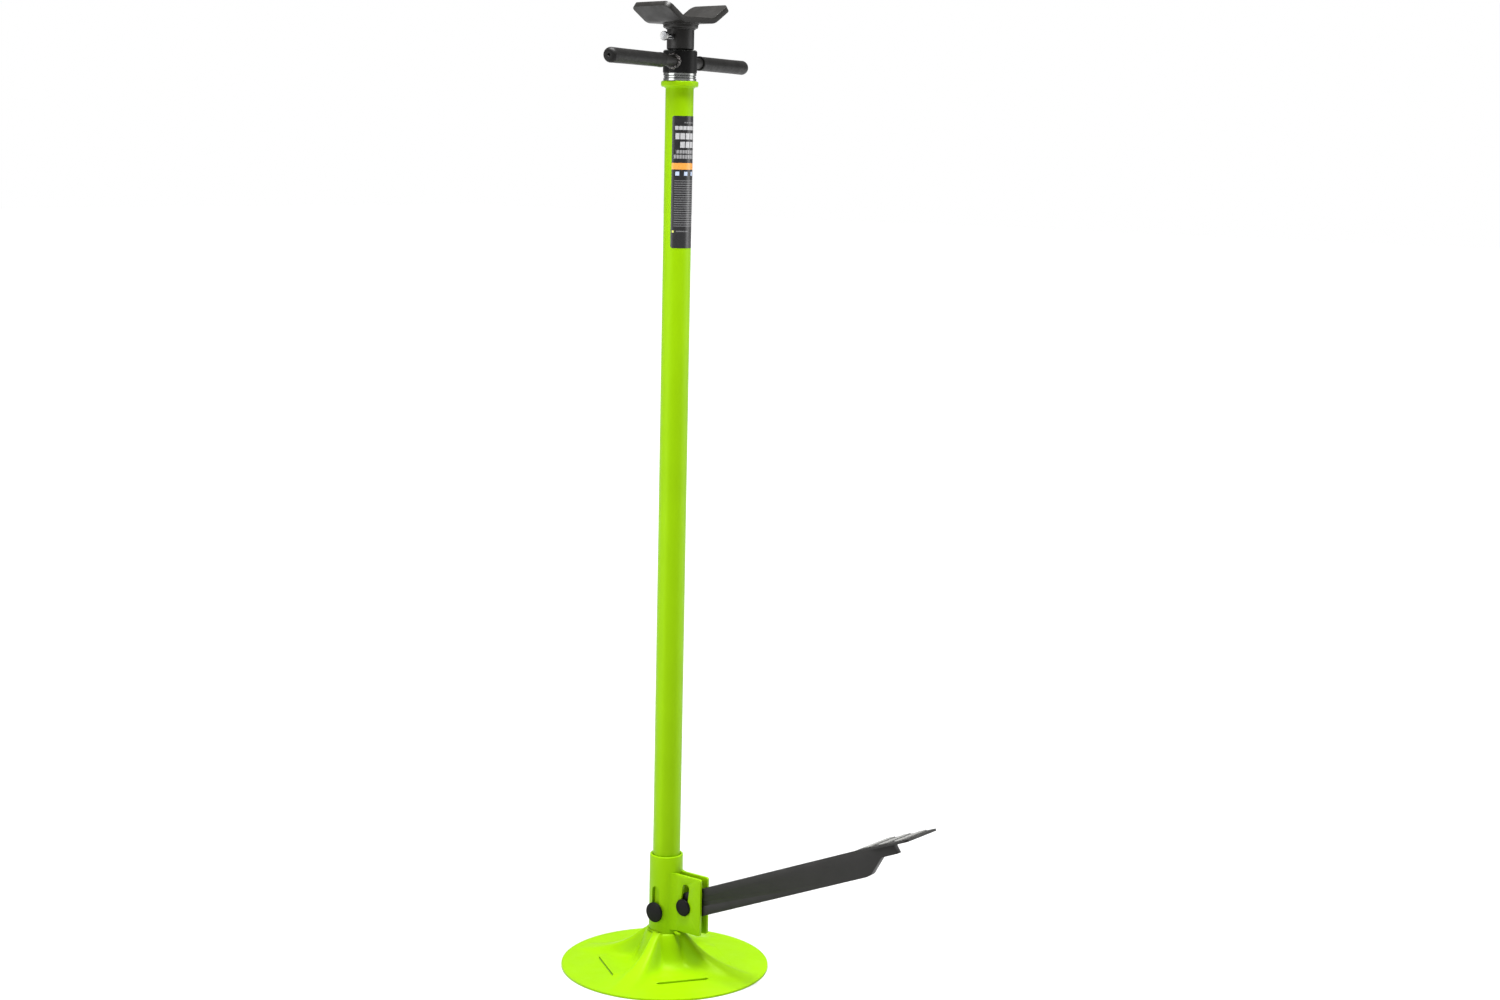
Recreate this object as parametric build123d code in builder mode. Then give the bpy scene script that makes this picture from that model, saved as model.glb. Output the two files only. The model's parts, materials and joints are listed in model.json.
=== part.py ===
from build123d import *
import math
import os

# Under-hoist support stand with a foot pedal: a column slides in a sleeve on a stamped round base,
# a pedal lever lifts it a little, and a spun nut drives a lead screw with a V saddle on its top.
# Millimetres. +Z is up, the origin is on the floor at the centre of the base, the pedal points to +X.

EDGE_BREAK = 0.8        # small chamfer on turned parts
OVERCUT = 1.0           # how far a cutting shape passes the face that it cuts

# Base stamping
RIM_R = 152.5
SHEET = 3.0
DECK_TOP = 6.6          # raised centre of the stamping
SLIT_REACH = 90.0       # centre to each sheared slit
SLIT_HALF = 40.4        # half the length of a slit
RIB_TURN = 11.5         # first rib, from +X
RIB_W = 22.0
RIBS = 4
RIB_CREST = [(28.0, 54.5), (41.0, 47.5), (56.0, 33.0), (80.0, 20.0), (110.0, 9.0), (138.0, SHEET)]
RIB_STEP_T = 4.0        # wall between the deck and the ring, under each rib
NECK_TOP = 56.0
NECK_R = 28.5
CONE_LINE = [(NECK_R, NECK_TOP), (32.0, 43.0), (38.0, 22.0), (50.0, DECK_TOP)]
CONE_FLAT = 8.0         # flat ring at the cone's foot, joined to the deck
CONE_WALL = 3.2         # wall of the cone, measured level

# Guide sleeve
SLEEVE_R = 24.4
SLEEVE_BORE_R = 20.5
SLEEVE_BOTTOM = 22.0
SLEEVE_TOP = 169.0
PIN_SLOT_RISE = 32.0
PIN_SLOT_W = 13.0
LEVER_WINDOW_H = 64.0
LEVER_WINDOW_Z = 95.0
SLEEVE_FIT = 0.05

# Bracket cheeks either side of the lever
CHEEK_T = 4.0
CHEEK_GAP = 12.0
CHEEK_START = 10.0
CHEEK_END = 73.0
CHEEK_CORNER_R = 3.0
CHEEK_LOW = 60.5
CHEEK_HIGH = 145.0
CHEEK_SLOT_W = 12.6
CHEEK_SLOT_RISE = 28.9
CHEEK_SLOT_SHIFT = 4.0

# Pins: A goes through the column and the lever's inner end, B is the fulcrum in the cheeks
PIN_R = 6.0
PIN_FIT = 0.08
PIN_A_Z = 85.4
PIN_B_X = 42.0
PIN_B_Z = 97.8
PIN_A_HEAD_R = 14.7
PIN_B_HEAD_R = 12.6
PIN_A_PLAY = 0.3        # end play under the head
PIN_B_PLAY = 0.1
PIN_A_HEAD_CHAMFER = 0.9
PIN_B_HEAD_CHAMFER = 1.4
PIN_TAIL_CHAMFER = 1.0
PIN_HOLE_FIT = 0.05
HEAD_T = 3.2
PIN_TAIL = 5.0
CLIP_T = 1.6
CLIP_RIM = 4.5

# Pedal lever, in its own axes: along the bar and square to it, from pin B
PEDAL_SLOPE = 22.6
PEDAL_SWING = 34.0
BAR_H = 38.0
BAR_T = 9.5
BAR_END = 337.0
TONGUE_END = 400.0
TONGUE_LOW = 2.0
BOSS_R = 12.6
BAR_BACK = -24.0        # back of the bar's full height
BAR_HEEL = -20.0        # back of its lower edge
NOSE_BACK = -33.0       # where the nose meets the boss
NOSE_L = 14.0
NOSE_SHAVE = 1.5        # how much lower than the boss the nose is
TAPER_RUN = 34.0        # from the end of the bar's lower edge to the tongue
TAPER_KNEE = 9.0
TONGUE_NICK = (2.5, 7.0)
EYE_SLACK = 0.8         # length of the eye for pin A beyond what the swing needs
EYE_PLAY = 0.3
LEVER_CORNER_R = 2.0

# Foot pad
PAD_L = 93.0
PAD_W = 76.0
PAD_T = 3.0
PAD_START = 353.0
PAD_DROOP = 1.5         # the pad lies a little flatter than the bar
PAD_CORNER_R = 6.0
TREADS = 3
TREAD_PITCH = 27.35
TREAD_W = 14.0
TREAD_L = 64.0
TREAD_T = 1.8
TREAD_CORNER_R = 4.0

# Column
COLUMN_R = 20.0
COLUMN_BORE_R = 17.0
COLUMN_BOTTOM = 60.5
COLUMN_TOP = 1286.4
FORK_RISE = 27.0        # top of the fork above pin A
COLLAR_R = 26.5
COLLAR_H = 8.2
COLLAR_EDGE_R = 2.2
SPIGOT_H = 15.0
SPIGOT_FIT = 0.05

# Label wrapped on the column
LABEL_LOW = 1059.0
LABEL_HIGH = 1245.6
LABEL_HALF_ANGLE = 78.5
LABEL_T = 0.25

# Thrust bearing
RACE_R = 23.4
RACE_BORE_R = 15.0
BEARING_H = 11.3
RACE_T = 3.7
BALL_R = 3.0
BALL_PITCH_R = 19.2
BALLS = 14
BALL_PLAY = 0.12
CAGE_T = 2.2
CAGE_MARGIN = 0.6       # how far the cage stays inside the races' edges
CAGE_PLAY = 0.1
RACE_CHAMFER = 0.5

# Spin hub and handle
HUB_R = 24.2
HUB_H = 32.2
HUB_CHAMFER = 2.0
HUB_Z = COLUMN_TOP + COLLAR_H + BEARING_H
HANDLE_TURN = 104.5     # direction of the far arm, from +X
ROD_R = 8.0
ROD_END = 217.5
GRIP_R = 10.5
GRIP_START = 62.5
GRIP_END = 224.5
GRIP_END_R = 4.5

# Lead screw
SCREW_R = 13.0
SCREW_PLAY = 0.35
SCREW_TRAVEL = 600.0
SHOULDER_Z = 1338.7
JOURNAL_R = 11.0
JOURNAL_TOP = 1367.9
GROOVE_R = 9.0
GROOVE_W = 9.0
JOURNAL_CHAMFER = 1.0
STOP_R = 16.4
STOP_T = 5.0
STOP_GAP = 0.5          # left under the spigot with the screw right up
BOLT_R = 5.0
BOLT_DEPTH = 20.0
BOLT_TIP_GAP = 2.0
BOLT_HEAD_R = 8.5
BOLT_HEAD_T = 6.4

# Saddle
SOCKET_R = 19.4
SOCKET_BOTTOM = 1338.9
SOCKET_TOP = 1368.3
SOCKET_FIT = 0.09
SOCKET_CHAMFER = 1.0
FLANGE_R = 24.8
FLANGE_T = 7.0
FLANGE_EDGE_R = 2.5
SADDLE_TURN = -10.0     # direction of the trough, from +X
SADDLE_L = 79.0
SADDLE_FLAT = 54.0
SADDLE_T = 8.0
WING_SLANT = 34.2
WING_ANGLE = 35.5
WING_CORNER_R = 7.0
LOCK_Z = 1356.5
LOCK_R = 4.0
LOCK_HEAD_R = 6.6
LOCK_HEAD_T = 5.0
LOCK_REACH = 38.0
LOCK_FIT = 0.06
LOCK_TIP_GAP = 0.4

collar_top = COLUMN_TOP + COLLAR_H
cheek_outer = CHEEK_GAP / 2 + CHEEK_T
column_lift = PIN_B_X * math.sin(math.radians(PEDAL_SWING)) + (PIN_B_Z - PIN_A_Z) * (
    1 - math.cos(math.radians(PEDAL_SWING)))
screw_bottom = COLUMN_TOP - SPIGOT_H - SCREW_TRAVEL - STOP_T - STOP_GAP

os.makedirs("parts", exist_ok=True)


def pedal_plane(along, up, side=0.0, droop=0.0):
    """Plane standing on the lever: its x runs along the bar, its y square to it, its z to -Y."""
    slope = math.radians(PEDAL_SLOPE)
    origin = (
        PIN_B_X + along * math.cos(slope) - up * math.sin(slope),
        side,
        PIN_B_Z + along * math.sin(slope) + up * math.cos(slope),
    )
    turned = math.radians(PEDAL_SLOPE - droop)
    return Plane(origin, x_dir=(math.cos(turned), 0, math.sin(turned)), z_dir=(0, -1, 0))


# ---------------------------------------------------------------- base stamping
deck_corners = []
for quarter in range(4):
    for side in (-SLIT_HALF, SLIT_HALF):
        corner = Vector(SLIT_REACH, side).rotate(Axis.Z, 90 * quarter)
        deck_corners.append((corner.X, corner.Y))
blend_reach = (SLIT_REACH + SLIT_HALF) / math.sqrt(2)
blend_length = (SLIT_REACH - SLIT_HALF) * math.sqrt(2)
deck_plane = Plane.XY.rotated((0, 0, RIB_TURN + 45))
cone_foot_r = CONE_LINE[-1][0]
cone_lip_r = SLEEVE_R + SLEEVE_FIT
bore_under_r = NECK_R - SHEET + 0.5
cone_under = [(radius - CONE_WALL, height - OVERCUT) for radius, height in reversed(CONE_LINE[1:3])]
rib_end, rib_root = RIB_CREST[-1], RIB_CREST[0]

with BuildPart() as base_plate:
    # flat outer ring
    with BuildSketch(deck_plane):
        Circle(RIM_R)
        Polygon(*deck_corners, align=None, mode=Mode.SUBTRACT)
    extrude(amount=SHEET)
    # raised centre, open to the ring at the slits
    with BuildSketch(deck_plane.offset(DECK_TOP - SHEET)):
        Polygon(*deck_corners, align=None)
        Circle(cone_foot_r - SHEET, mode=Mode.SUBTRACT)
    extrude(amount=SHEET)
    # the step between the two levels, under the ribs
    for quarter in range(4):
        with BuildSketch(Plane.XY.rotated((0, 0, RIB_TURN + 90 * quarter))):
            with Locations((blend_reach, 0)):
                Rectangle(RIB_STEP_T, blend_length)
        extrude(amount=DECK_TOP)
    # conical neck
    with BuildSketch(Plane.XZ):
        with BuildLine():
            Polyline(
                (cone_lip_r, NECK_TOP), *CONE_LINE, (cone_foot_r + CONE_FLAT, DECK_TOP),
                (cone_foot_r + CONE_FLAT, DECK_TOP - SHEET), (cone_foot_r - SHEET, DECK_TOP - SHEET),
                *cone_under, (bore_under_r, NECK_TOP - SHEET), (cone_lip_r, NECK_TOP - SHEET), close=True,
            )
        make_face()
    revolve(axis=Axis.Z)
    # four hollow ribs from the neck out to the ring
    for rib in range(RIBS):
        rib_plane = Plane.XZ.rotated((0, 0, RIB_TURN + 90 * rib))
        with BuildSketch(rib_plane):
            with BuildLine():
                top_line = Spline(*RIB_CREST)
                inner_x = NECK_R - OVERCUT
                Polyline(top_line @ 1, (rib_end[0], 0), (inner_x, 0), (inner_x, rib_root[1]), top_line @ 0)
            make_face()
        extrude(amount=RIB_W / 2, both=True)
    for rib in range(RIBS):
        rib_plane = Plane.XZ.rotated((0, 0, RIB_TURN + 90 * rib))
        with BuildSketch(rib_plane):
            with BuildLine():
                low_line = Spline(*[(x - OVERCUT, y - CONE_WALL) for x, y in RIB_CREST])
                inner_x = NECK_R + OVERCUT
                Polyline(
                    low_line @ 1, (rib_end[0] - OVERCUT, -OVERCUT), (inner_x, -OVERCUT),
                    (inner_x, CONE_LINE[1][1]), low_line @ 0,
                )
            make_face()
        extrude(amount=RIB_W / 2 - SHEET, both=True, mode=Mode.SUBTRACT)
    with BuildSketch(Plane.XY):
        Circle(bore_under_r)
    extrude(amount=NECK_TOP - SHEET, mode=Mode.SUBTRACT)
base_plate.part.label = "base_plate"
export_step(base_plate.part, "parts/base_plate.step")

# ---------------------------------------------------------------- guide sleeve
with BuildPart() as guide_sleeve:
    with BuildSketch(Plane.XY.offset(SLEEVE_BOTTOM)):
        Circle(SLEEVE_R)
        Circle(SLEEVE_BORE_R, mode=Mode.SUBTRACT)
    extrude(amount=SLEEVE_TOP - SLEEVE_BOTTOM)
    chamfer(guide_sleeve.edges().group_by(Axis.Z)[-1], EDGE_BREAK)
    # slots for the lift pin, right through along Y
    with BuildSketch(Plane.XZ):
        with Locations((0, PIN_A_Z + PIN_SLOT_RISE / 2)):
            SlotCenterToCenter(PIN_SLOT_RISE, PIN_SLOT_W, rotation=90)
    extrude(amount=SLEEVE_R + OVERCUT, both=True, mode=Mode.SUBTRACT)
    # window for the lever
    with BuildSketch(Plane.YZ):
        with Locations((0, LEVER_WINDOW_Z)):
            SlotOverall(LEVER_WINDOW_H, CHEEK_GAP, rotation=90)
    extrude(amount=SLEEVE_R + OVERCUT, mode=Mode.SUBTRACT)
guide_sleeve.part.label = "guide_sleeve"
export_step(guide_sleeve.part, "parts/guide_sleeve.step")

# ---------------------------------------------------------------- bracket cheeks
slot_lean = math.degrees(math.atan2(CHEEK_SLOT_RISE, CHEEK_SLOT_SHIFT))
slot_centres = math.hypot(CHEEK_SLOT_RISE, CHEEK_SLOT_SHIFT)
slot_middle = (PIN_B_X + CHEEK_SLOT_SHIFT / 2, PIN_B_Z + CHEEK_SLOT_RISE / 2)


def bracket_cheek(inner_face):
    """One cheek plate, CHEEK_T thick towards -Y from the plane y = inner_face."""
    with BuildPart() as cheek:
        with BuildSketch(Plane.XZ.offset(-inner_face)):
            with BuildLine():
                Polyline(
                    (CHEEK_START, CHEEK_LOW), (CHEEK_END, CHEEK_LOW), (CHEEK_END, CHEEK_HIGH),
                    (CHEEK_START, CHEEK_HIGH), close=True,
                )
            make_face()
            with Locations(slot_middle):
                SlotCenterToCenter(slot_centres, CHEEK_SLOT_W, rotation=slot_lean, mode=Mode.SUBTRACT)
        extrude(amount=CHEEK_T)
        fillet(cheek.edges().filter_by(Axis.Y).group_by(Axis.X)[-1], CHEEK_CORNER_R)
        with BuildSketch(Plane.XY):
            Circle(SLEEVE_R)
        extrude(amount=SLEEVE_TOP, mode=Mode.SUBTRACT)
    return cheek


cheek_near = bracket_cheek(-CHEEK_GAP / 2)
cheek_near.part.label = "bracket_cheek_near"
export_step(cheek_near.part, "parts/bracket_cheek_near.step")

cheek_far = bracket_cheek(cheek_outer)
cheek_far.part.label = "bracket_cheek_far"
export_step(cheek_far.part, "parts/bracket_cheek_far.step")


# ---------------------------------------------------------------- clevis pins and their clips
def headed_pin(x, z, head_r, seat, head_chamfer):
    """A pin along Y with a chamfered head outside y = -seat, and a plain end past y = seat."""
    with BuildPart() as pin:
        with BuildSketch(Plane.XZ.offset(seat)):
            with Locations((x, z)):
                Circle(head_r)
        extrude(amount=HEAD_T)
        chamfer(pin.edges().filter_by(GeomType.CIRCLE).sort_by(Axis.Y)[0], head_chamfer)
        with BuildSketch(Plane.XZ.offset(-seat - PIN_TAIL)):
            with Locations((x, z)):
                Circle(PIN_R)
        extrude(amount=2 * seat + PIN_TAIL)
        chamfer(pin.edges().filter_by(GeomType.CIRCLE).sort_by(Axis.Y)[-1], PIN_TAIL_CHAMFER)
    return pin


def push_clip(x, z, seat):
    """A push-on retaining ring on a pin's plain end."""
    with BuildPart() as clip:
        with BuildSketch(Plane.XZ.offset(-seat - CLIP_T)):
            with Locations((x, z)):
                Circle(PIN_R + CLIP_RIM)
                Circle(PIN_R, mode=Mode.SUBTRACT)
        extrude(amount=CLIP_T)
    return clip


pin_a_seat = SLEEVE_R + PIN_A_PLAY
pin_b_seat = cheek_outer + PIN_B_PLAY

fulcrum_pin = headed_pin(PIN_B_X, PIN_B_Z, PIN_B_HEAD_R, pin_b_seat, PIN_B_HEAD_CHAMFER)
fulcrum_pin.part.label = "fulcrum_pin"
export_step(fulcrum_pin.part, "parts/fulcrum_pin.step")

fulcrum_clip = push_clip(PIN_B_X, PIN_B_Z, pin_b_seat)
fulcrum_clip.part.label = "fulcrum_pin_clip"
export_step(fulcrum_clip.part, "parts/fulcrum_pin_clip.step")

lift_pin = headed_pin(0, PIN_A_Z, PIN_A_HEAD_R, pin_a_seat, PIN_A_HEAD_CHAMFER)
lift_pin.part.label = "lift_pin"
export_step(lift_pin.part, "parts/lift_pin.step")

lift_clip = push_clip(0, PIN_A_Z, pin_a_seat)
lift_clip.part.label = "lift_pin_clip"
export_step(lift_clip.part, "parts/lift_pin_clip.step")

# ---------------------------------------------------------------- pedal lever
slope = math.radians(PEDAL_SLOPE)
pin_a_along = -PIN_B_X * math.cos(slope) + (PIN_A_Z - PIN_B_Z) * math.sin(slope)
pin_a_up = PIN_B_X * math.sin(slope) + (PIN_A_Z - PIN_B_Z) * math.cos(slope)
boss_lean = math.degrees(math.atan2(pin_a_up, pin_a_along))
pin_a_arm = math.hypot(pin_a_along, pin_a_up)
arm_shortening = pin_a_arm - PIN_B_X
half_bar = BAR_H / 2
eye_shift = arm_shortening / 2
eye_at = (
    pin_a_along - eye_shift * math.cos(math.radians(boss_lean)),
    pin_a_up - eye_shift * math.sin(math.radians(boss_lean)),
)
nose_half = BOSS_R - NOSE_SHAVE
tongue_back = BAR_END + TAPER_RUN

with BuildPart() as pedal_lever:
    with BuildSketch(pedal_plane(0, 0, side=BAR_T / 2)):
        with BuildLine():
            Polyline(
                (BAR_BACK, half_bar), (TONGUE_END, half_bar),
                (TONGUE_END - TONGUE_NICK[0], half_bar - TONGUE_NICK[1]), (TONGUE_END, TONGUE_LOW),
                (tongue_back, TONGUE_LOW), (BAR_END + TAPER_KNEE, TONGUE_LOW - half_bar),
                (BAR_END, -half_bar),
                (BAR_HEEL, -half_bar), (NOSE_BACK, pin_a_up - nose_half), (NOSE_BACK, pin_a_up + nose_half),
                close=True,
            )
        make_face()
        with Locations((pin_a_along, pin_a_up)):
            Circle(BOSS_R)
        with Locations((NOSE_BACK - NOSE_L / 4, pin_a_up)):
            Rectangle(NOSE_L, 2 * nose_half)
        with Locations((0, 0)):
            Circle(PIN_R + PIN_FIT, mode=Mode.SUBTRACT)
        with Locations(eye_at):
            SlotCenterToCenter(
                arm_shortening + EYE_SLACK, 2 * (PIN_R + EYE_PLAY), rotation=boss_lean, mode=Mode.SUBTRACT)
    extrude(amount=BAR_T)
    fillet(pedal_lever.edges().filter_by(Axis.Y).group_by(Axis.Z)[0], LEVER_CORNER_R)
pedal_lever.part.label = "pedal_lever"
export_step(pedal_lever.part, "parts/pedal_lever.step")

# ---------------------------------------------------------------- foot pad and its treads
pad_side = pedal_plane(PAD_START, half_bar + PAD_T, droop=PAD_DROOP)
pad_top = Plane(pad_side.origin, x_dir=pad_side.x_dir, z_dir=pad_side.y_dir)

with BuildPart() as foot_pad:
    with BuildSketch(pad_top):
        with Locations((PAD_L / 2, 0)):
            RectangleRounded(PAD_L, PAD_W, PAD_CORNER_R)
    extrude(amount=-PAD_T)
    # weld seat: the part of the pad that would sink into the bar is left out
    with BuildSketch(pedal_plane(0, 0, side=BAR_T / 2)):
        with Locations((TONGUE_END / 2, 0)):
            Rectangle(TONGUE_END, BAR_H)
    extrude(amount=BAR_T, mode=Mode.SUBTRACT)
foot_pad.part.label = "foot_pad"
export_step(foot_pad.part, "parts/foot_pad.step")

with BuildPart() as pad_treads:
    with BuildSketch(pad_top):
        with Locations((PAD_L / 2, 0)):
            with GridLocations(TREAD_PITCH, 0, TREADS, 1):
                RectangleRounded(TREAD_W, TREAD_L, TREAD_CORNER_R)
    extrude(amount=TREAD_T)
pad_treads.part.label = "pad_treads"
export_step(pad_treads.part, "parts/pad_treads.step")

# ---------------------------------------------------------------- column
fork_top = PIN_A_Z + FORK_RISE

with BuildPart() as column_tube:
    with BuildSketch(Plane.XY.offset(COLUMN_BOTTOM)):
        Circle(COLUMN_R)
        Circle(COLUMN_BORE_R, mode=Mode.SUBTRACT)
    extrude(amount=COLUMN_TOP - COLUMN_BOTTOM)
    # cross hole for the lift pin
    with BuildSketch(Plane.XZ):
        with Locations((0, PIN_A_Z)):
            Circle(PIN_R + PIN_HOLE_FIT)
    extrude(amount=COLUMN_R + OVERCUT, both=True, mode=Mode.SUBTRACT)
    # fork for the lever, open at the bottom
    with BuildSketch(Plane.YZ):
        with Locations((0, fork_top)):
            Rectangle(CHEEK_GAP, fork_top - COLUMN_BOTTOM + OVERCUT, align=(Align.CENTER, Align.MAX))
    extrude(amount=COLUMN_R + OVERCUT, mode=Mode.SUBTRACT)
column_tube.part.label = "column_tube"
export_step(column_tube.part, "parts/column_tube.step")

with BuildPart() as column_collar:
    with BuildSketch(Plane.XY.offset(COLUMN_TOP)):
        Circle(COLLAR_R)
    extrude(amount=COLLAR_H)
    fillet(column_collar.edges().filter_by(GeomType.CIRCLE), COLLAR_EDGE_R)
    with BuildSketch(Plane.XY.offset(COLUMN_TOP)):
        Circle(COLUMN_BORE_R - SPIGOT_FIT)
    extrude(amount=-SPIGOT_H)
    with BuildSketch(Plane.XY.offset(COLUMN_TOP - SPIGOT_H)):
        Circle(SCREW_R + SCREW_PLAY)
    extrude(amount=SPIGOT_H + COLLAR_H, mode=Mode.SUBTRACT)
column_collar.part.label = "column_collar"
export_step(column_collar.part, "parts/column_collar.step")

with BuildPart() as column_label:
    with BuildSketch(Plane.XY.offset(LABEL_LOW)):
        Circle(COLUMN_R + LABEL_T)
        Circle(COLUMN_R, mode=Mode.SUBTRACT)
        with BuildLine():
            reach = 2 * COLUMN_R
            edge = math.radians(LABEL_HALF_ANGLE)
            tip = (reach * math.cos(edge), reach * math.sin(edge))
            Polyline((0, 0), (tip[0], -tip[1]), (reach, -tip[1]), (reach, tip[1]), tip, close=True)
        make_face(mode=Mode.INTERSECT)
    extrude(amount=LABEL_HIGH - LABEL_LOW)
column_label.part.label = "column_label"
export_step(column_label.part, "parts/column_label.step")


# ---------------------------------------------------------------- thrust bearing
def race(low, chamfered):
    """A flat race ring with a groove for the balls, its outer edge broken at the end named."""
    with BuildPart() as ring:
        with BuildSketch(Plane.XY.offset(low)):
            Circle(RACE_R)
            Circle(RACE_BORE_R, mode=Mode.SUBTRACT)
        extrude(amount=RACE_T)
        chamfer(ring.edges().group_by(Axis.Z)[chamfered].sort_by(SortBy.LENGTH)[-1], RACE_CHAMFER)
        with BuildSketch(Plane.XZ):
            with Locations((BALL_PITCH_R, ball_z)):
                Circle(BALL_R + BALL_PLAY)
        revolve(axis=Axis.Z, mode=Mode.SUBTRACT)
    return ring


ball_z = collar_top + BEARING_H / 2

lower_race = race(collar_top, 0)
lower_race.part.label = "bearing_lower_race"
export_step(lower_race.part, "parts/bearing_lower_race.step")

upper_race = race(HUB_Z - RACE_T, -1)
upper_race.part.label = "bearing_upper_race"
export_step(upper_race.part, "parts/bearing_upper_race.step")

with BuildPart() as bearing_balls:
    with Locations(Plane.XY.offset(ball_z)):
        with PolarLocations(BALL_PITCH_R, BALLS):
            Sphere(BALL_R)
bearing_balls.part.label = "bearing_balls"
export_step(bearing_balls.part, "parts/bearing_balls.step")

with BuildPart() as bearing_cage:
    with BuildSketch(Plane.XY.offset(ball_z - CAGE_T / 2)):
        Circle(RACE_R - CAGE_MARGIN)
        Circle(RACE_BORE_R + CAGE_MARGIN, mode=Mode.SUBTRACT)
        with PolarLocations(BALL_PITCH_R, BALLS):
            Circle(BALL_R + CAGE_PLAY, mode=Mode.SUBTRACT)
    extrude(amount=CAGE_T)
bearing_cage.part.label = "bearing_cage"
export_step(bearing_cage.part, "parts/bearing_cage.step")

# ---------------------------------------------------------------- spin hub, rods and grips
with BuildPart() as spin_hub:
    with BuildSketch(Plane.XY.offset(HUB_Z)):
        Circle(HUB_R)
        Circle(SCREW_R + SCREW_PLAY, mode=Mode.SUBTRACT)
    extrude(amount=HUB_H)
    chamfer(spin_hub.edges().group_by(Axis.Z)[-1].sort_by(SortBy.LENGTH)[-1], HUB_CHAMFER)
    chamfer(spin_hub.edges().group_by(Axis.Z)[-1].sort_by(SortBy.LENGTH)[0], EDGE_BREAK)
spin_hub.part.label = "spin_hub"
export_step(spin_hub.part, "parts/spin_hub.step")

arm_z = HUB_Z + HUB_H / 2
for side, turn in (("far", HANDLE_TURN), ("near", HANDLE_TURN + 180)):
    direction = (math.cos(math.radians(turn)), math.sin(math.radians(turn)), 0)
    arm_plane = Plane((0, 0, arm_z), x_dir=(0, 0, 1), z_dir=direction)
    with BuildPart() as handle_rod:
        with BuildSketch(arm_plane.offset(HUB_R / 2)):
            Circle(ROD_R)
        extrude(amount=ROD_END - HUB_R / 2)
        with BuildSketch(Plane.XY.offset(HUB_Z)):
            Circle(HUB_R)
        extrude(amount=HUB_H, mode=Mode.SUBTRACT)
    handle_rod.part.label = "handle_rod_" + side
    export_step(handle_rod.part, "parts/handle_rod_" + side + ".step")
    with BuildPart() as grip:
        with BuildSketch(arm_plane.offset(GRIP_START)):
            Circle(GRIP_R)
        extrude(amount=GRIP_END - GRIP_START)
        fillet(grip.edges().filter_by(GeomType.CIRCLE), GRIP_END_R)
        with BuildSketch(arm_plane.offset(GRIP_START)):
            Circle(ROD_R)
        extrude(amount=ROD_END - GRIP_START, mode=Mode.SUBTRACT)
    grip.part.label = "grip_" + side
    export_step(grip.part, "parts/grip_" + side + ".step")

# ---------------------------------------------------------------- lead screw and its end stop
with BuildPart() as lead_screw:
    with BuildSketch(Plane.XY.offset(screw_bottom + STOP_T)):
        Circle(SCREW_R)
    extrude(amount=SHOULDER_Z - screw_bottom - STOP_T)
    with BuildSketch(Plane.XY.offset(SHOULDER_Z)):
        Circle(JOURNAL_R)
    extrude(amount=JOURNAL_TOP - SHOULDER_Z)
    chamfer(lead_screw.edges().group_by(Axis.Z)[-1], JOURNAL_CHAMFER)
    # groove that holds the lock screw's tip
    with BuildSketch(Plane.XY.offset(LOCK_Z - GROOVE_W / 2)):
        Circle(JOURNAL_R + OVERCUT)
        Circle(GROOVE_R, mode=Mode.SUBTRACT)
    extrude(amount=GROOVE_W, mode=Mode.SUBTRACT)
    # hole for the stop bolt
    with BuildSketch(Plane.XY.offset(screw_bottom + STOP_T)):
        Circle(BOLT_R)
    extrude(amount=BOLT_DEPTH, mode=Mode.SUBTRACT)
lead_screw.part.label = "lead_screw"
export_step(lead_screw.part, "parts/lead_screw.step")

with BuildPart() as stop_washer:
    with BuildSketch(Plane.XY.offset(screw_bottom)):
        Circle(STOP_R)
        Circle(BOLT_R, mode=Mode.SUBTRACT)
    extrude(amount=STOP_T)
stop_washer.part.label = "screw_stop_washer"
export_step(stop_washer.part, "parts/screw_stop_washer.step")

with BuildPart() as stop_bolt:
    with BuildSketch(Plane.XY.offset(screw_bottom)):
        RegularPolygon(BOLT_HEAD_R, 6)
    extrude(amount=-BOLT_HEAD_T)
    with BuildSketch(Plane.XY.offset(screw_bottom)):
        Circle(BOLT_R)
    extrude(amount=STOP_T + BOLT_DEPTH - BOLT_TIP_GAP)
stop_bolt.part.label = "screw_stop_bolt"
export_step(stop_bolt.part, "parts/screw_stop_bolt.step")

# ---------------------------------------------------------------- saddle
with BuildPart() as saddle_socket:
    with BuildSketch(Plane.XY.offset(SOCKET_BOTTOM)):
        Circle(SOCKET_R)
        Circle(JOURNAL_R + SOCKET_FIT, mode=Mode.SUBTRACT)
    extrude(amount=SOCKET_TOP - SOCKET_BOTTOM)
    chamfer(saddle_socket.edges().group_by(Axis.Z)[0].sort_by(SortBy.LENGTH)[-1], SOCKET_CHAMFER)
    with BuildSketch(Plane.XZ):
        with Locations((0, LOCK_Z)):
            Circle(LOCK_R)
    extrude(amount=SOCKET_R + OVERCUT, mode=Mode.SUBTRACT)
saddle_socket.part.label = "saddle_socket"
export_step(saddle_socket.part, "parts/saddle_socket.step")

with BuildPart() as saddle_flange:
    with BuildSketch(Plane.XY.offset(SOCKET_TOP)):
        Circle(FLANGE_R)
    extrude(amount=FLANGE_T)
    fillet(saddle_flange.edges().filter_by(GeomType.CIRCLE).sort_by(Axis.Z)[0], FLANGE_EDGE_R)
saddle_flange.part.label = "saddle_flange"
export_step(saddle_flange.part, "parts/saddle_flange.step")

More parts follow.
